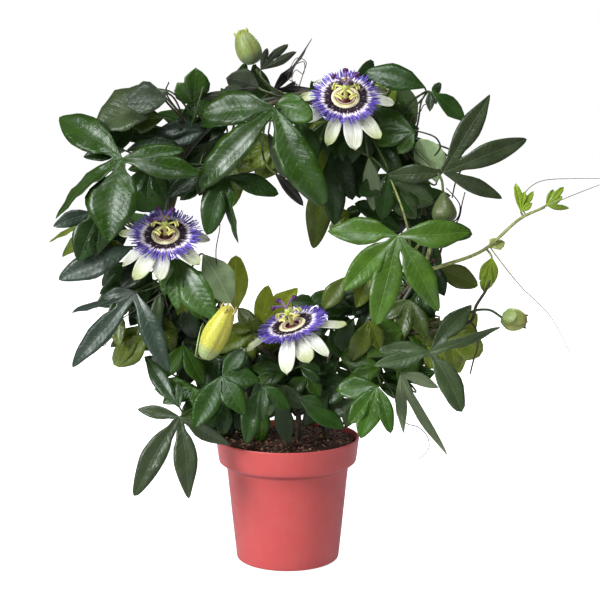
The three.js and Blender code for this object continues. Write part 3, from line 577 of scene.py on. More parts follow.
# %% Sheets and tubes
class Sheet:
    """Points, faces and their colours and map, gathered before they become one mesh"""

    def __init__(self):
        self.points = []
        self.tones = []
        self.faces = []
        self.corner_maps = []

    def add_point(self, point, tone):
        self.points.append(tuple(point))
        self.tones.append((*tone, 1.0))
        return len(self.points) - 1

    def add_face(self, corners, maps):
        kept = [(corner, spot) for n, (corner, spot) in enumerate(zip(corners, maps))
                if corner != corners[n - 1]]
        if len(kept) > 2:
            self.faces.append([corner for corner, spot in kept])
            self.corner_maps.extend(spot for corner, spot in kept)

    def make(self, name, *materials):
        mesh = bpy.data.meshes.new(name)
        mesh.from_pydata([tuple(value * MM for value in point) for point in self.points], [], self.faces)
        layer = mesh.uv_layers.new(name="UVMap")
        layer.data.foreach_set("uv", [value for spot in self.corner_maps for value in spot])
        tones = mesh.color_attributes.new("tone", "FLOAT_COLOR", "POINT")
        tones.data.foreach_set("color", [value for tone in self.tones for value in tone])
        for material in materials:
            mesh.materials.append(material)
        mesh.shade_smooth()
        piece = bpy.data.objects.new(name, mesh)
        scene.collection.objects.link(piece)
        return piece


def add_tube(sheet, path, radius, sides, steps, tone, end_tone=None):
    """A round stalk along a path. Its radius is a number or a function of the share of the way."""
    places = [path(k / steps) for k in range(steps + 1)]
    end_tone = tone if end_tone is None else end_tone
    first_way = unit(places[1] - places[0])
    helper = np.array([0, 1, 0]) if abs(first_way[1]) < 0.8 else np.array([1, 0, 0])
    normal = unit(np.cross(first_way, helper))
    rings = []
    travelled = 0.0
    for k, place in enumerate(places):
        tangent = unit(places[min(k + 1, steps)] - places[max(k - 1, 0)])
        normal = unit(normal - tangent * normal.dot(tangent))
        across = np.cross(tangent, normal)
        size = radius(k / steps) if callable(radius) else radius
        shade = mix(tone, end_tone, k / steps)
        ring = []
        for n in range(sides):
            angle = 2 * math.pi * n / sides
            spoke = math.cos(angle) * normal + math.sin(angle) * across
            ring.append(sheet.add_point(place + size * spoke, shade))
        travelled += np.linalg.norm(place - places[k - 1]) if k else 0
        rings.append((ring, travelled / 100))
    for (low, low_v), (high, high_v) in zip(rings, rings[1:]):
        for n in range(sides):
            m = (n + 1) % sides
            u, u_next = n / sides, (n + 1) / sides
            sheet.add_face([low[n], low[m], high[m], high[n]],
                           [(u, low_v), (u_next, low_v), (u_next, high_v), (u, high_v)])
    for ring, turn in ((rings[0], -1), (rings[-1], 1)):
        corners = ring[0][::turn]
        sheet.add_face(corners, [(0.5, ring[1])] * sides)


def pick(piece):
    deselect_all()
    piece.select_set(True)
    bpy.context.view_layer.objects.active = piece


def apply_modifiers(piece):
    pick(piece)
    for modifier in list(piece.modifiers):
        bpy.ops.object.modifier_apply(modifier=modifier.name)


def thicken(piece, thickness, offset=0, back=1):
    """Gives a sheet its thickness. Its far face takes the material that is back places further on."""
    solid = piece.modifiers.new("thickness", "SOLIDIFY")
    solid.thickness = thickness * MM
    solid.offset = offset
    solid.material_offset = back
    apply_modifiers(piece)


def keep(piece, slot, *nodes):
    """Puts a finished piece on the plant, in place of the solids that it stands for"""
    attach(piece, "root")
    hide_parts(*nodes)
    triangles = sum(len(polygon.vertices) - 2 for polygon in piece.data.polygons)
    print(f"{piece.name}: {triangles} triangles")


# %% [markdown]
# ## The wire hoop
# Growers sell these plants on a hoop of coated wire. Only glimpses of it show between the leaves, so
# a tube of twelve sides with a dull grey-green coat is enough.

# %% The wire hoop
def make_wire_coat():
    material, tree, shader = new_material("wire_coat")
    patches = use_group(tree, MOTTLE, Place=object_place(tree), Size=0.008, Low=0.75, High=1.25)
    base = tint("#5d6150") * 0.6
    plug(tree, scale_colour(tree, base, patches.outputs["Factor"]), shader.inputs["Base Color"])
    set_values(shader, Roughness=0.45)
    add_bump(tree, shader, patches.outputs["Height"], 0.0002)
    return material


def hoop_path(share):
    x, z = hoop_at(share * HOOP_LENGTH)[0]
    return np.array([x, 0.0, z])


hoop_sheet = Sheet()
add_tube(hoop_sheet, hoop_path, WIRE_RADIUS, 12, 190, TONES["grey"])
keep(hoop_sheet.make("hoop_wire", make_wire_coat()), "hoop_wire", "hoop")

# %% [markdown]
# ## The shape of one leaf
# A leaf is a fan of five to seven lobes that meet in one web at the stalk. A leaf at the front has
# only those that show. A lobe is a strip that rises from the stalk, bends back towards its tip, folds
# a little along its midrib and waves along its margins. Its tip is blunt, more so on some lobes than
# on others. Two neighbours share the points of the web up to the notch between them, so that the
# blade is one surface. A leaf is written as a row: its hub x, y, z, the pitch and yaw of its face, its
# width factor, its lobes and its tone. A lobe is its angle and length seen from the front, and a
# twist and a width factor if it has them.

# %% Lobes
LOBE_HALF_WIDTH = 5
LOBE_HALF_WIDTH_PER_LENGTH = 0.11
LOBE_RISE = 0.1
LOBE_BEND = 0.45
LOBE_SWEEP = 0.07
LOBE_FULLEST = 1.15
LOBE_BLUNTNESS = 0.72
TIP_BLUNTNESS = (0.42, 0.75)
TIP_TAPER = (0.1, 0.45)
TIP_FROM = 0.5
FOOT_WIDTH = 0.8
FOOT_LENGTH = 0.35
LOBE_OVERLAP = 1.55
LOBE_STACK = 0.7
LOBE_FOLD = 0.34
FOLD_FLATTENING = 0.16
NOTCH_EASE = 0.2
WIDEST_WEB = math.radians(150)
WAVE_LENGTH = 19
WAVE_HEIGHT = 0.09


def face_normal(pitch, yaw):
    level = math.cos(math.radians(pitch))
    return np.array([math.sin(math.radians(yaw)) * level, -math.cos(math.radians(yaw)) * level,
                     math.sin(math.radians(pitch))])


def lobe_direction(angle, normal):
    """The way a lobe runs in the leaf's plane. It is longer than 1 by what the view hides."""
    x, z = math.cos(math.radians(angle)), math.sin(math.radians(angle))
    return np.array([x, -(normal[0] * x + normal[2] * z) / normal[1], z])


class Lobe:
    """One lobe, as its row gives it: its angle and length seen from the front, its twist and width"""

    def __init__(self, hub, normal, wide, draw, stack, angle, seen_length, twist=0, broad=1):
        way = lobe_direction(angle, normal)
        self.angle = angle
        self.length = seen_length * np.linalg.norm(way)
        self.direction = unit(way)
        self.hub = hub
        self.normal = normal
        self.flat_side = np.cross(normal, self.direction)
        self.twist = math.radians(twist)
        self.half_width = wide * broad * (LOBE_HALF_WIDTH + LOBE_HALF_WIDTH_PER_LENGTH * seen_length)
        self.phase = draw.uniform(0, 6)
        self.taper = draw.uniform(*TIP_TAPER)
        self.sweep = draw.uniform(-LOBE_SWEEP, LOBE_SWEEP)
        self.blunt = draw.uniform(*TIP_BLUNTNESS)
        self.stack = stack

    def outline(self, distance):
        share = min(distance / self.length, 1.0)
        blunt = mix(LOBE_BLUNTNESS, self.blunt, smoothstep((share - TIP_FROM) / 0.3))
        body = max(math.sin(math.pi * share ** LOBE_FULLEST), 0.0) ** blunt
        foot = mix(FOOT_WIDTH, 1.0, smoothstep(share / FOOT_LENGTH))
        return self.half_width * body * foot * (1 - self.taper * smoothstep((share - TIP_FROM) / 0.5))

    def width(self, distance, gap, notch):
        """Half the lobe's width on one side, where it shares a web with its neighbour up to a notch"""
        if gap > WIDEST_WEB:
            return self.outline(distance)
        middle = distance * math.tan(gap / 2)
        if distance <= notch:
            return middle
        share = smoothstep((distance - notch) / (NOTCH_EASE * self.length))
        return min(mix(notch * math.tan(gap / 2), self.outline(distance), share), LOBE_OVERLAP * middle)

    def point(self, distance, across, reach):
        share = distance / self.length
        turn = self.twist * smoothstep((share - 0.1) / 0.4)
        side = self.flat_side * math.cos(turn) + self.normal * math.sin(turn)
        up = np.cross(self.direction, side)
        run = distance * (1 - (LOBE_BEND * share) ** 2 / 6)
        lift = self.length * (LOBE_RISE * share - LOBE_BEND * share ** 2 / 2)
        lift += self.stack * smoothstep((share - 0.25) / 0.3)
        wave = WAVE_HEIGHT * across * across * math.sin(2 * math.pi * distance / WAVE_LENGTH + self.phase)
        fold = LOBE_FOLD * abs(across) - FOLD_FLATTENING * across * across + wave * smoothstep(share / 0.3)
        centre = self.hub + self.direction * run + self.normal * lift
        centre = centre + self.flat_side * self.sweep * self.length * smoothstep((share - 0.2) / 0.8) ** 2
        return centre + side * across * reach + up * fold * reach


print("a lobe of 60 mm is", round(2 * (LOBE_HALF_WIDTH + LOBE_HALF_WIDTH_PER_LENGTH * 60), 1), "mm wide")

# %% [markdown]
# The lobes are put in turning order, starting after the widest gap, so that each one's left edge
# meets the next one's right edge. The stations near the stalk are the same on all lobes, which lets
# neighbours share their points there. Towards the tip they stand closer, to keep it round.

# %% One leaf blade
ACROSS = [-1.0, -0.66, -0.33, 0.0, 0.33, 0.66, 1.0]
WEB_STEP = 2.0
LOBE_STEP = 5.0
TIP_CROWDING = 1.3
LONGEST_WEB = 0.6
NOTCH_AT = 0.13
NOTCH_WIDE_ANGLE = 50
NOTCH_FILL = 0.4
DEEPEST_NOTCH = 0.55
OPEN_SIDE = (math.pi, 0.0)
TONE_SPREAD = (0.88, 1.12)
LOBE_TONE_SPREAD = (0.92, 1.08)


def sorted_lobes(lobes, normal):
    sense = 1 if normal[1] < 0 else -1
    turning = sorted(lobes, key=lambda lobe: sense * lobe.angle)
    gaps = [360 - abs(turning[-1].angle - turning[0].angle)]
    gaps += [abs(second.angle - first.angle) for first, second in zip(turning, turning[1:])]
    start = gaps.index(max(gaps))
    return turning[start:] + turning[:start]


def notch_between(first, second):
    gap = math.acos(max(-1.0, min(1.0, first.direction.dot(second.direction))))
    at = NOTCH_AT + max(0.0, 1 - math.degrees(gap) / NOTCH_WIDE_ANGLE) * NOTCH_FILL
    reach = at * (first.length + second.length) / 2 * math.cos(gap / 2) ** 2
    return gap, min(reach, DEEPEST_NOTCH * min(first.length, second.length))


def lobe_stations(length, web_depth):
    """The distances along a lobe at which it gets a row of points"""
    web = [WEB_STEP * n for n in range(1, int(web_depth / WEB_STEP) + 2)
           if WEB_STEP * n < LONGEST_WEB * length]
    start = web[-1] if web else 0.0
    rest = length - start
    count = max(3, round(rest / LOBE_STEP))
    return web + [start + rest * (1 - (1 - n / count) ** TIP_CROWDING) for n in range(1, count + 1)]


def add_station(sheet, lobe, distance, sides, shared_point, tone):
    """A row of points across a lobe. Its right end may be a point of the lobe before."""
    right, left = [lobe.width(distance, gap, notch) for gap, notch in sides]
    indices, maps = [], []
    for across in ACROSS:
        reach = right if across < 0 else left
        maps.append((0.5 + across * reach / 100, distance / 100))
        if across == -1 and shared_point is not None:
            indices.append(shared_point)
        elif distance >= lobe.length - 1e-6 and indices:
            indices.append(indices[0])
        else:
            indices.append(sheet.add_point(lobe.point(distance, across, reach), tone))
    return indices, maps


def add_lobe(sheet, lobe, sides, web_depth, hub_index, shared, tone):
    """Adds a lobe and returns the points of its left edge, by distance, that the next one shares"""
    stations = lobe_stations(lobe.length, web_depth)
    rows = [([hub_index] * len(ACROSS), [(0.5, 0.0)] * len(ACROSS))]
    rows += [add_station(sheet, lobe, distance, sides, shared.get(distance), tone) for distance in stations]
    for (low, low_maps), (high, high_maps) in zip(rows, rows[1:]):
        for n in range(len(ACROSS) - 1):
            sheet.add_face([low[n], high[n], high[n + 1], low[n + 1]],
                           [low_maps[n], high_maps[n], high_maps[n + 1], low_maps[n + 1]])
    left_notch = sides[1][1]
    return {distance: indices[-1] for distance, (indices, maps) in zip(stations, rows[1:])
            if distance <= left_notch}


def add_leaf(sheet, row, draw):
    x, y, z, pitch, yaw, wide, lobe_rows, tone = row
    hub = np.array([x, y, z], float)
    normal = face_normal(pitch, yaw)
    lobes = [Lobe(hub, normal, wide, draw, LOBE_STACK * (n % 2 * 2 - 1), *lobe_row)
             for n, lobe_row in enumerate(lobe_rows)]
    lobes = sorted_lobes(lobes, normal)
    sides = [OPEN_SIDE, *(notch_between(first, second) for first, second in zip(lobes, lobes[1:])), OPEN_SIDE]
    web_depth = max(notch for gap, notch in sides)
    base = TONES[tone] * draw.uniform(*TONE_SPREAD)
    hub_index = sheet.add_point(hub, base)
    shared = {}
    for k, lobe in enumerate(lobes):
        shade = base * draw.uniform(*LOBE_TONE_SPREAD)
        shared = add_lobe(sheet, lobe, sides[k:k + 2], web_depth, hub_index, shared, shade)


trial = Sheet()
add_leaf(trial, (0, 0, 0, 0, 0, 1, [(45, 40), (90, 50), (135, 40)], "mid"), random.Random(0))
print("a leaf of three lobes has", len(trial.points), "points and", len(trial.faces), "faces")

# %% [markdown]
# ## Stalks
# Each leaf hangs on a stalk that leaves the stem at the nearest place that isn't hidden behind the
# wire, and sags on its way. A place counts as hidden where the stem turns its back to the leaf, and
# that adds to its distance when the nearest one is chosen.

# %% Stalks
ROOT_SHARES = [k / 160 for k in range(12, 149)]
BACK_TURNED_COST = 40
LEAST_FACING = 0.3


def stalk_root(path, place):
    def cost(share):
        way = place - path(share)
        facing = 1.0
        if hasattr(path, "outward"):
            facing = path.outward(share).dot(way) / (np.linalg.norm(way) + 1e-9)
        return np.linalg.norm(way) + BACK_TURNED_COST * max(0.0, LEAST_FACING - facing)

    return path(min(ROOT_SHARES, key=cost))


def bend_path(start, middle, end):
    return lambda share: (1 - share) ** 2 * start + 2 * share * (1 - share) * middle + share ** 2 * end


def add_leaf_stalk(sheet, path, row, tone="stalk"):
    hub = np.array(row[:3], float)
    normal = face_normal(row[3], row[4])
    root = stalk_root(path, hub)
    first = unit(lobe_direction(row[6][0][0], normal))
    reach = np.linalg.norm(root - hub)
    middle = hub - 0.3 * reach * normal - 0.2 * reach * first
    way = bend_path(root, middle, hub + 0.8 * first)
    add_tube(sheet, way, lambda share: STALK_RADIUS * (1.15 - 0.3 * share), 6, 8,
             TONES[tone] * 0.9, TONES[tone] * 1.15)


def add_hanging_stalk(sheet, path, points):
    root = stalk_root(path, np.array(points[0], float))
    add_tube(sheet, smooth_path([root, *points]), lambda share: 1.2 - 0.15 * share, 8, 14, TONES["stalk"])


print("leaf stalks are", 2 * STALK_RADIUS, "mm thick")

# %% [markdown]
# ## The leafy stems
# These are the rows of the large leaves that the photo shows, stem by stem. Behind them a few more
# are grown by a seeded rule, because the photo doesn't show them. A stem's `back` says how: the seed,
# how many, and between which shares of the stem's length.

# %% Rows of the left stems
STEMS = {}


def add_stem(name, path, back, leaves):
    STEMS[name] = {"path": path, "back": back, "leaves": leaves}


add_stem("stem_left_low", left_vine(LEFT_FOOT, along_ring(215)), back=(1, 3, 0.6, 0.95), leaves=[
    (-121, -4, 198, 10, -10, 0.7, [(216, 34), (240, 39)], "olive"),
    (-85, -16, 184, 20, 10, 0.9, [(296, 37), (239, 34)], "mid"),
    (-85, -60, 134, 20, 0, 0.68,
     [(235, 71, 0, 1.15), (280, 63, 0, 1.2), (330, 46, 20), (170, 36, 0, 0.9)], "dusk"),
    (-86, -48, 138, 25, -10, 0.6, [(97, 22), (129, 51, 0, 1.1)], "dark"),
    (-51, -60, 167, 30, 0, 1.1, [(239, 43), (299, 34), (355, 31), (48, 28)], "dark"),
    (-77, -34, 152, 30, 0, 1, [(177, 32), (205, 27), (302, 21)], "mid"),
])
add_stem("stem_left_side", left_vine(along_ring(215), along_ring(160)), back=(6, 3, 0, 1), leaves=[
    (-43, 14, 207, 0, 0, 1.1, [(92, 48)], "sun"),
    (-88, -34, 258, 24, -20, 1, [(299, 54, 0, 1.25), (268, 40, 0, 0.9), (245, 32)], "mid"),
    (-120, -46, 232, 20, -10, 0.75, [(200, 58, 50), (230, 80, 0, 0.9), (295, 66), (190, 30)], "blue"),
    (-123, -24, 266, 20, 0, 0.95, [(204, 68)], "blue"),
    (-152, -2, 288, 0, -20, 0.6, [(188, 30, 30), (206, 57, 65), (227, 55)], "olive"),
    (-142, -12, 292, 20, 0, 1, [(246, 40), (218, 37)], "dark"),
])
add_stem("stem_left_top", left_vine(along_ring(160), along_ring(80)), back=(1380, 4, 0, 0.85), leaves=[
    (-128, -50, 338, 25, -10, 0.95,
     [(148, 68, 0, 1.2), (216, 72, 40, 0.85), (257, 64, 0, 1.95), (6, 50, 0, 0.85), (352, 63, 10)],
     "rich"),
    (-127, -32, 343, 30, 0, 0.9, [(184, 36), (12, 42)], "deep"),
    (-93, -22, 390, 40, -10, 1.2, [(205, 72, 0, 1.35)], "dusk"),
    (-83, -12, 350, 30, 10, 0.9, [(171, 54), (183, 27)], "dark"),
    (-76, -4, 379, -20, 20, 1.2, [(122, 20), (84, 29, 0, 1.3)], "mid"),
    (-9, -58, 377, 15, -15, 1, [(180, 62, 0, 1.2), (225, 89, 0, 0.85), (292, 82, 0, 1.05)], "rich"),
    (-8, -46, 380, 30, -25, 0.9, [(338, 29, 0, 1.6), (14, 22)], "mid"),
    (-22, -14, 392, 10, 165, 0.9, [(158, 28, 0, 1.5), (192, 56, 0, 0.45), (184, 30)], "umber"),
    (-21, -15, 406, 20, 170, 0.42, [(72, 20), (47, 32), (24, 35)], "umber"),
    (-12, 10, 389, 0, 20, 0.7, [(51, 58, 70), (4, 38, 50)], "umber"),
    (-37, -28, 368, 10, -30, 0.6, [(129, 32, 40), (167, 35, 45), (190, 42, 30)], "dark"),
    (-50, 14, 355, 20, 190, 0.8, [(203, 35), (228, 37)], "pale"),
    (-48, -42, 323, 15, 0, 0.85, [(346, 45), (281, 53, 70), (247, 48, 0, 1.2)], "dark"),
    (-64, -14, 330, 20, -10, 0.9, [(219, 44), (256, 25)], "deep"),
    (2, 20, 351, 0, 0, 1.1, [(205, 59), (231, 47), (310, 42)], "olive"),
])
print("left stems:", sum(len(stem["leaves"]) for stem in STEMS.values()), "front leaves")

# %% Rows of the right stems and the middle one
MIDDLE_PATH = [(6, -16, VINE_FOOT_Z), (9, -15, 125), (3, -12, 150), (-12, -8, 172), (-30, -4, 186)]
add_stem("stem_right_top", right_vine(along_ring(25), along_ring(102)), back=(1476, 4, 0.05, 0.7), leaves=[
    (39, -18, 348, 10, 0, 0.85, [(267, 66), (284, 48)], "deep"),
    (35, 22, 330, 0, 0, 0.85, [(257, 76), (277, 44)], "olive"),
    (110, -24, 392, 25, 10, 1.1, [(162, 51)], "dark"),
    (115, -20, 389, 20, 20, 0.9, [(322, 39), (34, 11, 50)], "dark"),
    (89, 5, 400, 0, 190, 1.1, [(288, 42), (218, 26)], "pale"),
    (102, -19, 357, 25, -10, 1.1, [(156, 42), (190, 35), (226, 22)], "mid"),
    (121, -12, 316, 10, 160, 1.4, [(106, 40)], "mint"),
    (124, -26, 325, 10, 10, 0.78,
     [(58, 79, 0, 0.9), (21, 80, 0, 0.86), (338, 57, 0, 0.76), (182, 45)], "dusk"),
    (81, -20, 324, 20, 10, 1, [(262, 36), (329, 48), (310, 45), (220, 29)], "dark"),
    (65, -30, 338, 10, 170, 0.75, [(276, 44)], "sage"),
])
add_stem("stem_right_side", right_vine(along_ring(-32), along_ring(25)), back=(540, 3, 0, 1), leaves=[
    (87, -56, 278, 20, 0, 0.93,
     [(173, 57, 0, 1.1), (222, 61), (255, 70), (299, 66), (1, 60, 0, 1.1)], "fresh"),
    (92, -6, 286, 10, 10, 0.9, [(163, 40), (40, 23)], "dark"),
    (122, 14, 245, 0, 10, 1, [(337, 45)], "olive"),
    (47, -16, 240, 15, -10, 1.0, [(237, 33), (312, 14)], "olive"),
])
add_stem("stem_right_low", right_vine(RIGHT_FOOT, along_ring(-32)), back=(5, 3, 0.45, 0.95), leaves=[
    (114, -48, 184, 25, 10, 0.9,
     [(47, 54, 0, 0.9), (14, 66, 40, 0.4), (304, 53, 0, 1.05), (194, 46, 0, 0.8), (172, 42, 0, 0.8)],
     "pale"),
    (129, -6, 188, 0, 10, 1.5, [(36, 36), (344, 38), (300, 36)], "lime"),
    (66, -22, 205, 10, 0, 1, [(251, 37), (297, 27)], "olive"),
    (55, -2, 204, 10, 0, 1.1, [(240, 33)], "dark"),
    (72, -50, 157, 30, 0, 1,
     [(186, 34, 0, 1.2), (234, 36), (252, 40, 0, 1.1), (288, 36, 0, 0.75)], "mid"),
    (92, -26, 162, 0, 190, 0.6, [(273, 50, 0, 0.8), (296, 80, 0, 0.5), (343, 34)], "sage"),
])
add_stem("stem_middle", smooth_path(MIDDLE_PATH), back=(7, 2, 0.65, 1), leaves=[
    (-25, 12, 193, 0, 0, 1.05, [(72, 38, 0, 0.9), (46, 49)], "sun"),
    (-20, -54, 158, 25, 0, 0.9, [(249, 45), (270, 27), (322, 30)], "dark"),
    (-7, -38, 143, 0, 185, 0.9, [(285, 37)], "grey"),
    (9, -44, 146, 25, 10, 0.9, [(325, 46), (340, 24)], "dark"),
    (17, -18, 158, 20, 0, 1, [(217, 28), (301, 19)], "mid"),
    (-1, -24, 162, 30, 0, 1, [(166, 30), (195, 26)], "mid"),
])
print("all stems:", sum(len(stem["leaves"]) for stem in STEMS.values()), "front leaves")

# %% [markdown]
# The leaves at the back repeat the same draw as in the solid model, so that each fine leaf lies in
# its solid.

# %% Leaves at the back
BACK_LOBES = [(-52, 40), (0, 48), (52, 40)]
DRAW_FACTOR = 16807
DRAW_RANGE = 2147483647


def seeded_draw(seed):
    state = [seed]

    def draw(low, high):
        state[0] = (state[0] * DRAW_FACTOR) % DRAW_RANGE
        return low + (high - low) * state[0] / DRAW_RANGE

    return draw


def back_leaves(path, seed, count, start, end):
    draw = seeded_draw(seed)
    rows = []
    for k in range(count):
        root = path(start + (end - start) * (k + draw(0.3, 0.7)) / count)
        outward = math.atan2(root[2] - HOOP_CENTRE[1], root[0] - HOOP_CENTRE[0])
        reach = draw(-14, 22)
        aim = math.degrees(outward) + draw(-50, 50)
        lobes = [(aim + turn, length * draw(0.85, 1.1)) for turn, length in BACK_LOBES]
        depth = draw(16, 46)
        pitch, yaw = draw(0, 35), draw(150, 210)
        x = root[0] + reach * math.cos(outward)
        z = root[2] + reach * math.sin(outward)
        rows.append((x, depth, z, pitch, yaw, 0.9, lobes, "dark"))
    return rows


print("leaves at the back:", sum(stem["back"][1] for stem in STEMS.values()))

# %% [markdown]
# Between the large leaves the photo shows parts of many more, mostly dark ones behind them. They
# are too many and too hidden for the solid model, so they are filled in here: each is placed by the
# pixel where the photo shows its hub and by how far it lies behind the hoop. The photo has 600 by 600
# pixels, and its lens is as long as 1470 of them.

# %% Leaves seen through the gaps
FOCAL_PIXELS = 1469.7
PHOTO_MIDDLE = 300
FILL_PITCH = (5, 30)
FILL_YAW = (-20, 20)


def seen_at(across, down, depth):
    """The point at a depth behind the hoop, in millimetres, that the photo shows at a pixel"""
    ahead = np.array([0, math.cos(VIEW_TILT), -math.sin(VIEW_TILT)])
    up = np.array([0, math.sin(VIEW_TILT), math.cos(VIEW_TILT)])
    aside = np.array([(across - PHOTO_MIDDLE) / FOCAL_PIXELS, 0, 0])
    ray = ahead + aside + up * (PHOTO_MIDDLE - down) / FOCAL_PIXELS
    return EYE + ray * (depth - EYE[1]) / ray[1]


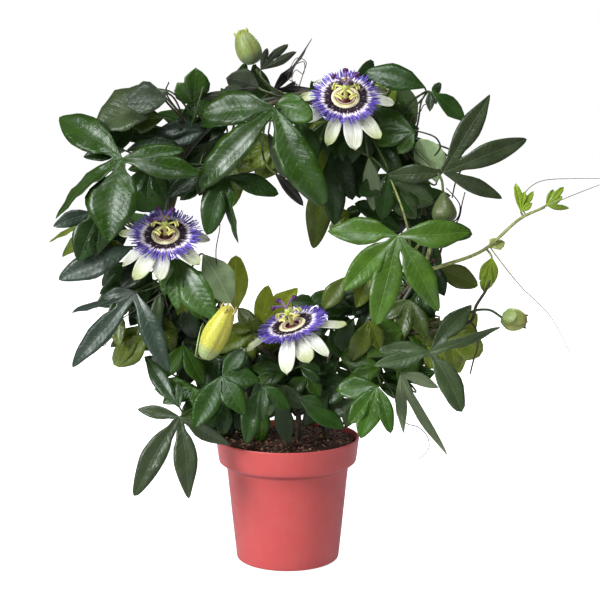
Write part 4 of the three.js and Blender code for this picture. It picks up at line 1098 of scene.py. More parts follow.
# Each row is the pixel, the depth, the width factor, the lobes and the tone
FILL_LEAVES = {
    "stem_left_low": [
        (205, 392, -18, 1.0, [(178, 40), (232, 30)], "mid"),
        (226, 400, -8, 1.0, [(262, 30), (238, 30), (200, 26)], "dark"),
        (170, 372, -10, 0.7, [(118, 34), (150, 26)], "grey"),
        (200, 352, 0, 1.1, [(200, 40), (240, 34), (170, 34)], "deep"),
        (178, 330, 4, 1.0, [(200, 38), (235, 34), (160, 30)], "olive"),
        (212, 330, 8, 1.1, [(180, 36), (215, 36), (140, 26)], "deep"),
        (232, 372, -2, 1.1, [(262, 38), (215, 30), (310, 28)], "deep"),
        (214, 350, -4, 1.2, [(248, 36), (286, 34), (212, 30)], "dark"),
        (222, 404, 2, 1.1, [(240, 28), (290, 28)], "deep"),
    ],
    "stem_left_side": [
        (152, 272, 6, 1.2, [(204, 46), (236, 40)], "dark"),
        (160, 285, 10, 1.1, [(232, 42), (262, 38)], "deep"),
        (160, 290, -4, 0.6, [(262, 34)], "pale"),
        (133, 290, -6, 1.0, [(196, 32), (232, 30)], "dark"),
        (185, 300, 4, 1.2, [(240, 36), (280, 34), (200, 30)], "deep"),
        (126, 247, -16, 0.7, [(176, 26)], "olive"),
        (130, 232, -4, 1.2, [(180, 30), (214, 34)], "deep"),
        (100, 212, -24, 1.3, [(243, 42), (268, 36)], "dark"),
        (92, 212, -16, 0.8, [(196, 32)], "blue"),
        (120, 312, -2, 0.9, [(236, 34), (268, 28)], "olive"),
        (196, 275, 2, 1.1, [(250, 40), (290, 40)], "olive"),
        (152, 260, -10, 1.3, [(192, 26), (216, 34)], "deep"),
        (203, 254, -22, 1.1, [(304, 46, 0, 1.25)], "mint"),
        (150, 334, -8, 1.2, [(221, 44)], "olive"),
        (140, 262, 4, 1.1, [(212, 38)], "deep"),
        (186, 268, -10, 1.0, [(318, 40), (290, 44)], "mid"),
    ],
    "stem_left_top": [
        (168, 99, -34, 1.5, [(178, 34, 0, 1.1)], "grey"),
        (164, 118, -30, 1.3, [(184, 34)], "moss"),
        (136, 122, -14, 1.0, [(196, 36), (226, 34)], "dark"),
        (192, 98, 2, 0.75, [(263, 30)], "dark"),
        (150, 168, -2, 1.0, [(262, 26), (300, 30), (232, 26)], "dark"),
        (204, 150, 0, 1.0, [(200, 34), (232, 38)], "dark"),
        (215, 162, 4, 1.1, [(214, 44), (246, 30)], "deep"),
        (206, 130, -6, 0.9, [(196, 34), (176, 40)], "blue"),
        (236, 168, -4, 1.0, [(196, 34), (228, 40), (262, 30)], "olive"),
        (232, 118, 0, 1.0, [(190, 40), (214, 40)], "deep"),
        (268, 132, -50, 0.42, [(288, 42, 0, 1.0), (304, 60)], "grey"),
        (206, 180, -4, 0.8, [(214, 28)], "dark"),
        (274, 172, -66, 0.5, [(312, 36)], "umber"),
        (300, 120, -30, 1.1, [(286, 40), (262, 36)], "dark"),
        (280, 140, 6, 1.2, [(194, 44), (222, 38), (250, 26)], "olive"),
    ],
    "stem_right_top": [
        (352, 138, 2, 1.2, [(258, 50), (282, 50)], "dark"),
        (326, 122, -6, 1.1, [(246, 34), (272, 40)], "dark"),
        (374, 136, -2, 1.0, [(268, 36), (300, 40)], "dark"),
        (400, 136, 2, 1.1, [(262, 34), (322, 36), (290, 36)], "dark"),
        (396, 86, -2, 0.9, [(196, 24), (240, 20)], "bright"),
        (372, 104, 0, 1.1, [(344, 38), (318, 32)], "mid"),
        (424, 150, 2, 0.9, [(208, 34), (250, 34)], "dark"),
        (330, 120, -4, 1.3, [(232, 26), (262, 52)], "olive"),
        (350, 110, -8, 1.4, [(246, 42), (272, 44), (300, 42)], "dark"),
        (430, 91, -18, 0.6, [(268, 16), (300, 12)], "grey"),
    ],
    "stem_right_side": [
        (402, 202, 2, 1.1, [(340, 34), (312, 34), (262, 28)], "deep"),
        (364, 208, -2, 0.9, [(204, 20), (330, 34)], "dark"),
        (390, 184, -22, 1.2, [(336, 40), (306, 36)], "pale"),
        (372, 274, -2, 1.0, [(238, 28), (200, 22)], "olive"),
        (380, 288, 4, 1.2, [(186, 42), (214, 42), (246, 34)], "deep"),
        (420, 290, 4, 1.1, [(240, 40), (280, 34), (205, 34)], "dark"),
        (432, 262, 2, 0.9, [(262, 34), (290, 30)], "deep"),
        (430, 282, -6, 0.7, [(282, 28)], "dark"),
        (404, 238, 10, 1.0, [(312, 26)], "dark"),
        (350, 212, -10, 1.0, [(222, 24), (200, 18)], "olive"),
    ],
    "stem_right_low": [
        (398, 306, 4, 1.2, [(262, 36), (300, 34), (222, 36)], "mid"),
        (404, 330, -10, 1.1, [(176, 32), (214, 36), (330, 36)], "fresh"),
        (424, 326, 2, 1.2, [(196, 40), (168, 34), (262, 34)], "olive"),
        (386, 350, -14, 1.1, [(186, 38), (224, 38), (320, 26)], "mid"),
        (380, 368, -24, 1.0, [(160, 34), (200, 30)], "fresh"),
        (340, 352, 2, 1.1, [(196, 34), (232, 36), (160, 28)], "dark"),
        (352, 384, -12, 1.0, [(176, 42), (208, 34)], "dark"),
        (420, 352, -10, 1.1, [(190, 40), (230, 30), (150, 30)], "mid"),
        (436, 372, -12, 0.8, [(182, 34), (200, 28)], "dark"),
        (448, 330, -2, 1.1, [(238, 36), (280, 36), (210, 34)], "lime"),
        (356, 400, -10, 1.0, [(205, 34), (250, 24)], "pale"),
        (410, 300, -4, 1.0, [(250, 34), (212, 30), (290, 32)], "moss"),
        (372, 320, -8, 0.9, [(250, 40), (285, 36)], "dark"),
        (440, 318, -6, 0.9, [(210, 30), (240, 30)], "olive"),
        (414, 392, -8, 0.9, [(150, 32), (176, 30)], "mid"),
        (382, 368, 2, 1.0, [(204, 26), (238, 20)], "mid"),
        (350, 306, -2, 1.0, [(186, 26), (162, 34), (330, 16)], "dark"),
    ],
    "stem_middle": [
        (256, 332, 2, 1.0, [(128, 26), (200, 36), (242, 38)], "olive"),
        (254, 352, -4, 1.1, [(206, 40), (250, 34), (300, 30)], "deep"),
        (286, 376, -14, 1.1, [(206, 34), (245, 40), (320, 34)], "dark"),
        (312, 372, -6, 1.2, [(200, 34), (245, 38), (300, 34)], "deep"),
        (330, 392, -10, 1.0, [(190, 34), (226, 36)], "dark"),
        (262, 402, -14, 0.9, [(240, 30), (268, 34)], "mid"),
        (236, 345, -6, 1.0, [(250, 34), (290, 30)], "deep"),
        (252, 330, -2, 0.8, [(172, 20)], "olive"),
        (318, 304, 10, 0.9, [(170, 24), (10, 16)], "dark"),
        (300, 366, -20, 0.9, [(352, 18), (330, 20)], "dark"),
        (330, 328, 2, 1.4, [(4, 24), (184, 22), (300, 26), (52, 18)], "dark"),
        (296, 348, 0, 1.3, [(274, 28), (222, 24), (322, 26)], "deep"),
        (266, 330, 4, 1.2, [(204, 20), (160, 20), (296, 22)], "olive"),
        (246, 392, 0, 1.2, [(262, 32), (302, 34), (226, 30)], "dark"),
        (276, 384, -24, 1.0, [(250, 30), (320, 30), (285, 26)], "pale"),
    ],
}


def fill_leaves(stem_name, draw):
    rows = []
    for across, down, depth, wide, lobes, tone in FILL_LEAVES[stem_name]:
        x, y, z = seen_at(across, down, depth)
        rows.append((x, y, z, draw.uniform(*FILL_PITCH), draw.uniform(*FILL_YAW), wide, lobes, tone))
    return rows


print("fill leaves:", sum(len(rows) for rows in FILL_LEAVES.values()))

# %% [markdown]
# Some stalks, dry twigs and curled tendrils show between and before the leaves. Each row is a radius,
# a tone and the pixels that the string passes, with their depths. It starts at its stem's vine, and
# it gets thinner on its way.

# %% Stalks, twigs and tendrils that show
STRINGS = {
    "stem_left_top": [
        (0.9, "twig", [(160, 92, -20), (172, 96, -22), (182, 116, -16), (182, 132, -6)]),
        (0.7, "twig", [(166, 92, -22), (169, 82, -22)]),
        (1.0, "stalk", [(190, 132, -8), (196, 112, -10), (204, 84, -8)]),
        (0.4, "twig", [(297, 92, -30), (296, 84, -34), (288, 78, -34), (294, 66, -34), (304, 62, -32),
                       (303, 74, -30), (296, 70, -30), (292, 80, -32), (300, 86, -32)]),
        (0.4, "twig", [(298, 90, -30), (303, 74, -34), (306, 62, -34), (297, 58, -32), (290, 68, -30)]),
    ],
    "stem_left_side": [
        (0.5, "twig", [(216, 300, -20), (216, 250, -26), (220, 225, -24), (217, 206, -20)]),
        (0.7, "twig", [(160, 262, -12), (166, 300, -16), (172, 322, -14)]),
        (0.4, "tendril", [(104, 335, -40), (106, 344, -42), (100, 347, -40)]),
    ],
    "stem_right_top": [
        (1.0, "stalk", [(388, 172, -26), (372, 158, -30), (352, 148, -26)]),
        (0.8, "umber", [(462, 158, -20), (455, 184, -22), (452, 198, -24)]),
        (0.9, "grey", [(414, 132, -10), (422, 100, -18), (428, 92, -20)]),
        (0.5, "twig", [(408, 128, -14), (413, 116, -18), (420, 112, -18), (424, 105, -20), (430, 104, -20)]),
        (0.9, "grey", [(424, 160, -10), (440, 148, -18), (436, 138, -18), (414, 130, -14)]),
    ],
    "stem_right_side": [
        (1.1, "young", [(412, 252, -20), (408, 230, -38), (402, 208, -38), (391, 180, -28)]),
        (0.7, "umber", [(452, 226, -14), (459, 218, -22), (462, 204, -22), (465, 192, -22)]),
        (0.6, "umber", [(456, 220, -18), (460, 206, -20), (452, 194, -20), (446, 188, -18)]),
        (1.2, "twig", [(436, 262, -10), (444, 240, -12), (450, 226, -12)]),
    ],
    "stem_right_low": [
        (1.4, "wood", [(470, 322, -20), (476, 306, -22), (486, 290, -24), (490, 280, -24)]),
        (0.9, "wood", [(470, 322, -20), (478, 342, -20), (473, 362, -18), (470, 374, -18)]),
        (0.45, "tendril", [(394, 396, -14), (398, 416, -22), (408, 424, -26), (418, 427, -26),
                           (427, 436, -26), (429, 447, -26), (424, 455, -26), (418, 459, -26)]),
        (0.8, "young", [(372, 322, -20), (380, 306, -24), (386, 296, -20)]),
    ],
}


def add_strings(sheet, path, stem_name):
    for radius, tone, places in STRINGS.get(stem_name, []):
        points = [seen_at(*place) for place in places]
        way = smooth_path([stalk_root(path, points[0]), *points])
        add_tube(sheet, way, lambda share: radius * (1.1 - 0.4 * share), 6, 8 * len(points), TONES[tone])


print("stalks, twigs and tendrils:", sum(len(rows) for rows in STRINGS.values()))

# %% [markdown]
# ## Flower and bud stalks
# A flower's row is its stem, the middle of its ring of threads, the way it faces and a point that its
# stalk passes. A bud's row is its stem, its base, its tip, its widest radius and the points of its
# stalk.

# %% Where the flowers and buds are
BLOOMS = [
    ("bloom_top", "stem_right_top", (46, -38, 383), (0, -0.755, 0.656), (46, -20, 374)),
    ("bloom_left", "stem_left_side", (-96, -40, 275), (0, -0.62, 0.785), (-97, -22, 264)),
    ("bloom_low", "stem_middle", (5, -32, 201), (-0.29, -0.28, 0.915), (8, -22, 182)),
]
BUDS = [
    ("bud_top", "stem_left_top", (-26, -6, 411), (-37, -5, 438), 10.2, [(-14, -4, 392), (-23, -6, 403)]),
    ("bud_opening", "stem_left_low", (-66, -50, 179), (-44, -58, 223), 10.6, [(-74, -40, 180)]),
    ("bud_right", "stem_right_low", (175, -20, 207), (195, -22, 204), 9.5,
     [(140, -12, 204), (152, -16, 212), (165, -18, 213)]),
    ("bud_hanging", "stem_right_top", (124, -34, 310), (125, -38, 285), 10, [(122, -28, 322)]),
]
CUP_DEPTH = 9
STALK_GAP = 0.4


def step_along(start, axis, distance):
    return np.array(start, float) + unit(np.array(axis, float)) * distance


def hanging_points(stem_name):
    ways = []
    for name, stem, centre, axis, bend in BLOOMS:
        if stem == stem_name:
            ways.append([bend, step_along(centre, axis, -(CUP_DEPTH + STALK_GAP))])
    for name, stem, base, tip, radius, path in BUDS:
        if stem == stem_name:
            ways.append([*path, step_along(base, np.subtract(tip, base), -STALK_GAP)])
    return ways


print("flowers:", len(BLOOMS), "and buds:", len(BUDS))

# %% [markdown]
# ## Building the stems
# A woody vine swells and thins along its length. The leaves of a stem are one piece and its wood
# another. Solidify gives all blades their thickness at once and puts the dull underside on the far
# face.

# %% Build the stems
LENGTH_STEPS = 40
VINE_STEP = 3


def vine_radius(share):
    return VINE_RADIUS * (1 + 0.1 * math.sin(37 * share) + 0.06 * math.sin(91 * share + 1))


def keep_stem(name, slot, blades, wood, wood_name):
    leaves = blades.make(f"{name}_leaves", LEAF_UPPER, LEAF_UNDER)
    thicken(leaves, BLADE_THICKNESS)
    keep(leaves, slot, name)
    keep(wood.make(wood_name, STALK_SKIN), slot, name)


def build_stem(name, stem, draw):
    path = stem["path"]
    blades, wood = Sheet(), Sheet()
    places = [path(k / LENGTH_STEPS) for k in range(LENGTH_STEPS + 1)]
    length = sum(np.linalg.norm(end - start) for start, end in zip(places, places[1:]))
    add_tube(wood, path, vine_radius, 10, round(length / VINE_STEP), TONES["wood"], TONES["wood"] * 0.85)
    for row in [*stem["leaves"], *back_leaves(path, *stem["back"]), *fill_leaves(name, draw)]:
        add_leaf(blades, row, draw)
        add_leaf_stalk(wood, path, row)
    for points in hanging_points(name):
        add_hanging_stalk(wood, path, points)
    add_strings(wood, path, name)
    keep_stem(name, "leaf_green", blades, wood, f"{name}_wood")


for number, (stem_name, stem) in enumerate(STEMS.items()):
    build_stem(stem_name, stem, random.Random(number))

# %% [markdown]
# ## Parts that are turned
# The pot, the peat, a flower's cup, its column and its raised ring are all turned shapes. Each is
# drawn as on a lathe: a circle is pulled up and scaled from ring to ring of a profile in edit mode.
# A profile that starts or ends on the axis closes in a point there.

# %% Turned shapes
def turned(name, profile, sides, closed_ring=False):
    """Turns a profile of (radius, height) pairs into a solid round the Z axis"""
    deselect_all()
    starts_on_axis = profile[0][0] == 0
    (radius, height), *rest = profile[1:] if starts_on_axis else profile
    bpy.ops.mesh.primitive_circle_add(
        vertices=sides, radius=radius * MM, fill_type="TRIFAN" if starts_on_axis else "NOTHING",
        location=(0, 0, height * MM))
    bpy.ops.object.mode_set(mode="EDIT")
    bpy.ops.mesh.select_mode(type="EDGE")
    bpy.ops.mesh.select_all(action="DESELECT")
    bpy.ops.mesh.select_non_manifold()
    for next_radius, next_height in rest:
        rise = (0, 0, (next_height - height) * MM)
        bpy.ops.mesh.extrude_region_move(TRANSFORM_OT_translate={"value": rise})
        if next_radius == 0:
            bpy.ops.mesh.merge(type="CENTER")
        else:
            factor = next_radius / radius
            bpy.ops.transform.resize(value=(factor, factor, 1))
            radius, height = next_radius, next_height
    bpy.ops.mesh.select_all(action="SELECT")
    if closed_ring:
        bpy.ops.mesh.remove_doubles(threshold=0.02 * MM)
    bpy.ops.mesh.normals_make_consistent(inside=False)
    bpy.ops.object.mode_set(mode="OBJECT")
    bpy.ops.object.transform_apply(location=True, rotation=True, scale=True)
    bpy.ops.object.shade_smooth_by_angle(angle=math.radians(50))
    piece = bpy.context.object
    piece.name = name
    return piece


def paint(piece, tone_at):
    """Writes a tone to each point of a piece by its place in millimetres"""
    tones = piece.data.color_attributes.new("tone", "FLOAT_COLOR", "POINT")
    for vertex, item in zip(piece.data.vertices, tones.data):
        item.color = (*tone_at(vertex.co / MM), 1)


def edit_all(step, **settings):
    """Runs one step of edit mode on the whole active piece"""
    bpy.ops.object.mode_set(mode="EDIT")
    bpy.ops.mesh.select_all(action="SELECT")
    step(**settings)
    bpy.ops.object.mode_set(mode="OBJECT")


def cover(piece, *materials):
    piece.data.materials.clear()
    for material in materials:
        piece.data.materials.append(material)


def join(name, pieces):
    deselect_all()
    for piece in pieces:
        piece.select_set(True)
    bpy.context.view_layer.objects.active = pieces[0]
    bpy.ops.object.join()
    pieces[0].name = name
    return pieces[0]


def placed_copy(model, name, matrix):
    piece = model.copy()
    piece.data = model.data.copy()
    piece.name = name
    scene.collection.objects.link(piece)
    piece.data.transform(matrix)
    return piece


def turn_by(degrees):
    return Matrix.Rotation(math.radians(degrees), 4, "Z")


# %% [markdown]
# ## The pot
# A grower's pot is moulded in one thin wall: a straight taper, a shoulder, and a wider band under
# a rounded lip, by which pots are stacked. It is pulled up on the outside, over the lip and down on
# the inside. Six drainage holes are cut with a boolean.

# %% Model the pot
POT_PROFILE = [
    (0, 0), (40.6, 0), (41.9, 0.25), (42.7, 0.9), (43.05, 1.9), (44.2, 13), (47.2, 42), (50.0, 70),
    (50.85, 77.6), (51.3, 79.1), (52.6, 80.5), (56.2, 83.0), (57.2, 83.9), (57.6, 85.2), (58.4, 91),
    (59.5, 100), (59.85, 102.4), (59.9, 103.3), (59.6, 103.85), (59.1, 104), (58.6, 103.8),
    (58.4, 103.2), (56.1, 85.2), (55.3, 84.3), (50.4, 80.9), (49.7, 79.6), (48.4, 70), (42.3, 6),
    (41.2, 3.2), (39.8, POT_FLOOR), (0, POT_FLOOR),
]


def cut_drain_holes(pot):
    deselect_all()
    for k in range(DRAIN_COUNT):
        place = polar(DRAIN_CIRCLE * MM, 2 * math.pi * (k + 0.5) / DRAIN_COUNT)
        bpy.ops.mesh.primitive_cylinder_add(
            vertices=20, radius=DRAIN_RADIUS * MM, depth=12 * MM, location=tuple(place))
        drill = bpy.context.object
        cut = pot.modifiers.new("drain", "BOOLEAN")
        cut.object = drill
        cut.solver = "EXACT"
        apply_modifiers(pot)
        bpy.data.objects.remove(drill)
        deselect_all()


pot = turned("pot_shell", POT_PROFILE, 96)
cut_drain_holes(pot)
pick(pot)
bpy.ops.object.shade_smooth_by_angle(angle=math.radians(40))
print("pot shell:", len(pot.data.polygons), "faces")

# %% [markdown]
# The plastic is coral red and satin. A moulded wall is never perfectly even: the colour drifts a
# little, fine vertical flow lines run through it, and it is scuffed where pots slide into each other.
# Painted shade darkens the crease under the band.

# %% Pot plastic
# In metres, as the material sees the pot
CREASE_HEIGHT = 0.0812
CREASE_EDGE = (0.0006, 0.0022)


def make_pot_plastic():
    material, tree, shader = new_material("pot_plastic")
    place = object_place(tree)
    drift = use_group(tree, MOTTLE, Place=place, Size=0.06, Low=0.95, High=1.05)
    flow = add_node(tree, "ShaderNodeVectorMath", operation="MULTIPLY")
    plug(tree, place, flow.inputs[0])
    flow.inputs[1].default_value = (1, 1, 0.06)
    lines = use_group(tree, MOTTLE, Place=flow.outputs[0], Size=0.004, Low=0.0, High=1.0)
    coral = tint("#dc5552") * 0.74
    colour = scale_colour(tree, coral, drift.outputs["Factor"])
    darker = scale_colour(tree, coral, 0.86)
    colour = mix_colour(tree, maths(tree, "MULTIPLY", lines.outputs["Factor"], 0.2), colour, darker)
    scuffs = use_group(tree, MOTTLE, Place=place, Size=0.012, Low=0.0, High=0.12)
    chalk = (*tint("#e08a86") * 0.62, 1)
    colour = mix_colour(tree, scuffs.outputs["Factor"], colour, chalk)
    # Painted shade: a strip at the crease's height is mixed towards a deep red, for the shadow under the
    # band.
    height = add_node(tree, "ShaderNodeSeparateXYZ")
    plug(tree, place, height.inputs[0])
    off_crease = maths(tree, "ABSOLUTE", maths(tree, "SUBTRACT", height.outputs["Z"], CREASE_HEIGHT))
    in_crease = maths(tree, "SUBTRACT", 1.0, ease_between(tree, off_crease, *CREASE_EDGE))
    painted_shade = maths(tree, "MULTIPLY", in_crease, 0.75)
    shade = (*tint("#a82c22") * 0.7, 1)
    plug(tree, mix_colour(tree, painted_shade, colour, shade), shader.inputs["Base Color"])
    satin = use_group(tree, MOTTLE, Place=place, Size=0.01, Low=0.36, High=0.5)
    plug(tree, satin.outputs["Factor"], shader.inputs["Roughness"])
    # The violet tint of the sheen is a painted reflection, for the pale violet shine along the pot's edges.
    set_values(shader, Specular_IOR_Level=0.4, Sheen_Weight=0.12, Sheen_Tint=(0.75, 0.7, 1.0, 1.0))
    add_bump(tree, shader, lines.outputs["Height"], 0.00015)
    return material


cover(pot, make_pot_plastic())
keep(pot, "pot_plastic", "pot")

# %% [markdown]
# ## The peat
# Peat is a heap of crumbs and fibres. A turned body fills the pot, its top is roughened by noise,
# and a few hundred crumbs and pale fibres lie on it. A crumb is a small ball of twenty faces,
# squashed and turned differently each time.

# %% Peat
def make_peat():
    material, tree, shader = new_material("peat")
    place = object_place(tree)
    coarse = use_group(tree, MOTTLE, Place=place, Size=0.004, Low=0.5, High=1.7)
    fine = use_group(tree, MOTTLE, Place=place, Size=0.0012, Low=-1.2, High=1.0)
    colour = scale_colour(tree, own_tone(tree), coarse.outputs["Factor"])
    fleck = (*tint("#8a6a50") * 0.6, 1)
    mask = maths(tree, "MULTIPLY", ease_between(tree, fine.outputs["Factor"], 0.3, 1.0), 0.6)
    plug(tree, mix_colour(tree, mask, colour, fleck), shader.inputs["Base Color"])
    set_values(shader, Roughness=0.95, Specular_IOR_Level=0.2)
    add_bump(tree, shader, fine.outputs["Height"], 0.001)
    return material


PEAT = make_peat()
print(PEAT.name, "has", len(PEAT.node_tree.nodes), "nodes")

# %% Model the peat
PEAT_PROFILE = [
    (0, 3), (41, 3), (49.2, 79.5), (55.5, 85), (57.3, 99.5), (54, 100.2), (50, 100.7), (45, 101.2),
    (40, 101.6), (35, 101.9), (30, 102.1), (25, 102.6), (20, 103), (15, 103.4), (10, 103.7), (5, 103.9),
    (0, 104),
]
PEAT_EDGE = 99.6
# The height of the lumps on the peat and how far apart they are
LUMPS = [(1.3, 7), (0.7, 2.5)]
CRUMB_COUNT = 760
CRUMB_SIZE = (0.5, 1.8)
CRUMB_BROWNS = [tint(text) for text in ("#1a100b", "#33201a", "#54362a", "#7a5442", "#a07e62", "#5e3626")]
FIBRE_COUNT = 110
FIBRE_RADIUS = 0.26


def on_peat(draw, widest, lift):
    """A place drawn at random on the peat, and its angle"""
    angle, radius = draw.uniform(0, 2 * math.pi), widest * math.sqrt(draw.random())
    return polar(radius, angle, np.interp(radius, [0, 30, 57.3], [104, 102, 99.5]) + lift), angle


def roughen(peat):
    for vertex in peat.data.vertices:
        if vertex.co.z > PEAT_EDGE * MM:
            spot = vertex.co / MM
            vertex.co.z += sum(MM * height * noise.noise(spot / apart) for height, apart in LUMPS)


def add_crumb(sheet, model, place, size, turn, tone):
    matrix = Matrix.Rotation(turn, 3, "Z") @ Matrix.Rotation(turn * 1.7, 3, "X")
    first = len(sheet.points)
    for vertex in model.vertices:
        local = matrix @ Vector([value * factor for value, factor in zip(vertex.co, size)])
        sheet.add_point(place + np.array(local), tone)
    for polygon in model.polygons:
        corners = [first + index for index in polygon.vertices]
        sheet.add_face(corners, [(0.5, 0.5)] * len(corners))


def make_crumbs(draw):
    deselect_all()
    bpy.ops.mesh.primitive_ico_sphere_add(subdivisions=1, radius=1)
    model = bpy.context.object
    sheet = Sheet()
    for k in range(CRUMB_COUNT):
        place, angle = on_peat(draw, widest=56, lift=0.3)
        size = [draw.uniform(*CRUMB_SIZE) for axis in range(3)]
        add_crumb(sheet, model.data, place, size, angle * 5, draw.choice(CRUMB_BROWNS))
    for k in range(FIBRE_COUNT):
        start, angle = on_peat(draw, widest=54, lift=0.6)
        way = np.array([draw.uniform(-5, 5), draw.uniform(-5, 5), draw.uniform(0, 1.6)])
        middle = start + way * 0.5 + np.array([0, 0, 1.0])
        add_tube(sheet, bend_path(start, middle, start + way), FIBRE_RADIUS, 4, 4,
                 tint("#a98c68") * draw.uniform(0.3, 0.95))
    bpy.data.objects.remove(model)
    return sheet.make("peat_crumbs", PEAT)


peat = turned("peat_body", PEAT_PROFILE, 64)
roughen(peat)
paint(peat, lambda spot: tint("#38231a") * 0.8)
cover(peat, PEAT)
keep(peat, "peat", "soil")
keep(make_crumbs(random.Random(5)), "peat", "soil")

# %% [markdown]
# ## The petals
# A passion flower has five petals and, just below them, five sepals that look like petals but are
# narrower, hooded and green on the back. Each is a grid that is drawn out into a strap with a blunt
# tip and cupped. No two of them hang alike, so each is placed by the pixel where the photo shows its
# tip: the line of sight through that pixel meets the flower where the tip must be. A petal's row is
# that pixel, how far the tip droops below the flower's plane, and a width factor. Petals and sepals
# take turns in a flower's list.

# %% Petal materials
def make_petal(name, face, edge, roughness):
    material, tree, shader = new_material(name)
    lines = use_group(tree, STREAKS, Map=own_map(tree), Across=2.5, Along=26.0)
    patches = use_group(tree, MOTTLE, Place=object_place(tree), Size=0.009, Low=0.0, High=0.5)
    split = add_node(tree, "ShaderNodeSeparateXYZ")
    plug(tree, own_map(tree), split.inputs[0])
    near_tip = ease_between(tree, split.outputs["X"], 0.55, 1.05)
    share = maths(tree, "MINIMUM", maths(tree, "ADD", patches.outputs["Factor"], near_tip), 1.0)
    colour = mix_colour(tree, share, (*face, 1), (*edge, 1))
    vein = scale_colour(tree, colour, 0.88)
    plug(tree, mix_colour(tree, lines.outputs["Line"], vein, colour), shader.inputs["Base Color"])
    set_values(shader, Roughness=roughness, Specular_IOR_Level=0.3, Subsurface_Weight=0.2,
               Subsurface_Radius=(1.0, 1.0, 0.8), Subsurface_Scale=0.002)
    add_bump(tree, shader, lines.outputs["Line"], 0.0002)
    return material


def make_tone_skin(name, roughness, bump):
    """Colour from the piece's own tone, with small patches of light and dark"""
    material, tree, shader = new_material(name)
    patches = use_group(tree, MOTTLE, Place=object_place(tree), Size=0.0015, Low=0.8, High=1.2)
    plug(tree, scale_colour(tree, own_tone(tree), patches.outputs["Factor"]), shader.inputs["Base Color"])
    set_values(shader, Roughness=roughness, Specular_IOR_Level=0.35)
    add_bump(tree, shader, patches.outputs["Height"], bump)
    return material


PETAL_FACE = make_petal("petal_face", tint("#f8f8f3") * 0.92, tint("#dfe2c6") * 0.9, 0.55)
SEPAL_FACE = make_petal("sepal_face", tint("#f2f4e4") * 0.9, tint("#c4cb94") * 0.85, 0.5)
SEPAL_BACK = make_petal("sepal_back", tint("#a5b87a") * 0.8, tint("#748f4a") * 0.8, 0.5)
THREADS = make_tone_skin("threads", 0.6, 0.00005)
WAXY = make_tone_skin("waxy_parts", 0.4, 0.0001)
print("petal materials:", PETAL_FACE.name, SEPAL_FACE.name, SEPAL_BACK.name)

# %% Petals, sepals and the cup
PETAL_START = 7
PETAL_HALF_WIDTH = 6.4
PETAL_THICKNESS = 0.55
PETAL_WAIST = 0.42
PETAL_FULLEST = 0.62
# How high the tip is hooded, and how far below the petals a sepal lies
SEPAL_HOOD, PETAL_HOOD = 1.6, 0.6
SEPAL_DROP = 0.9
CUP_PROFILE = [(0, -9), (1.8, -9), (3.2, -8.4), (4.6, -6.8), (6.2, -4.4), (7.4, -1.8), (7.8, -0.2),
               (7.2, 0.3), (0, 0.3)]
PETALS_SEEN = {
    "bloom_top": [(300, 97, 8, 0.75), (303, 121, 10, 1.15), (327, 147, 14, 0.85), (357, 151, 14, 1.15),
                  (379, 141, 10, 1.0), (394, 104, 9, 0.85), (388, 92, 16, 0.8)],
    "bloom_left": [(119, 235, 9, 0.85), (123, 268, 15, 0.75), (135, 282, 13, 1.1), (160, 282, 15, 1.05),
                   (199, 266, 8, 1.05), (210, 240, 8, 1.0)],
    "bloom_low": [(247, 351, 13, 1.45), (286, 376, 17, 1.1), (309, 365, 16, 1.2), (329, 358, 17, 0.9),
                  (347, 327, 8, 1.05)],
}
PETALS_HIDDEN = {
    "bloom_top": [(368, 86, 22), (346, 80, 26), (314, 84, 20)],
    "bloom_left": [(142, 224, 22), (156, 219, 24), (176, 219, 24), (190, 225, 22)],
    "bloom_low": [(266, 332, 20), (280, 322, 22), (298, 316, 22), (311, 314, 20), (320, 318, 18)],
}


def petal_outline(share):
    body = mix(PETAL_WAIST, 1.0, smoothstep(share / PETAL_FULLEST))
    tip = max(0.0, (share - PETAL_FULLEST) / (1 - PETAL_FULLEST))
    return body * math.sqrt(max(0.0, 1 - tip ** 2.2))


def make_petal_model(name, reach, half_width, droop, is_sepal):
    """A petal along the X axis whose tip lies droop below the flower's plane"""
    deselect_all()
    bpy.ops.mesh.primitive_grid_add(x_subdivisions=18, y_subdivisions=8, size=2)
    petal = bpy.context.object
    petal.name = name
    hood, low = (SEPAL_HOOD, SEPAL_DROP) if is_sepal else (PETAL_HOOD, 0.0)
    for vertex in petal.data.vertices:
        share, across = (vertex.co.x + 1) / 2, vertex.co.y
        radius = mix(PETAL_START, reach, share)
        width = half_width * petal_outline(share)
        cup = 1.6 * across * across * smoothstep(share / 0.5) + hood * smoothstep((share - 0.8) / 0.2)
        ripple = 0.5 * across ** 3 * math.sin(8 * share + half_width + reach)
        sideways = 1.2 * math.sin(reach + droop) * share * share
        height = cup + ripple - low - droop * share ** 1.7
        vertex.co = Vector((radius, across * width + sideways, height)) * MM
    edit_all(bpy.ops.mesh.remove_doubles, threshold=0.01 * MM)
    cover(petal, *((SEPAL_FACE, SEPAL_BACK) if is_sepal else (PETAL_FACE, SEPAL_FACE)))
    thicken(petal, PETAL_THICKNESS)
    petal.data.shade_smooth()
    return petal


def tip_in_flower(to_flower, across, down, droop):
    """Where the line of sight through a pixel is droop below the flower's plane, as angle and reach"""
    start, end = (to_flower @ Vector(point * MM) for point in (EYE, seen_at(across, down, 100)))
    tip = start.lerp(end, (start.z + droop * MM) / (start.z - end.z)) / MM
    return math.atan2(tip.y, tip.x), math.hypot(tip.x, tip.y)


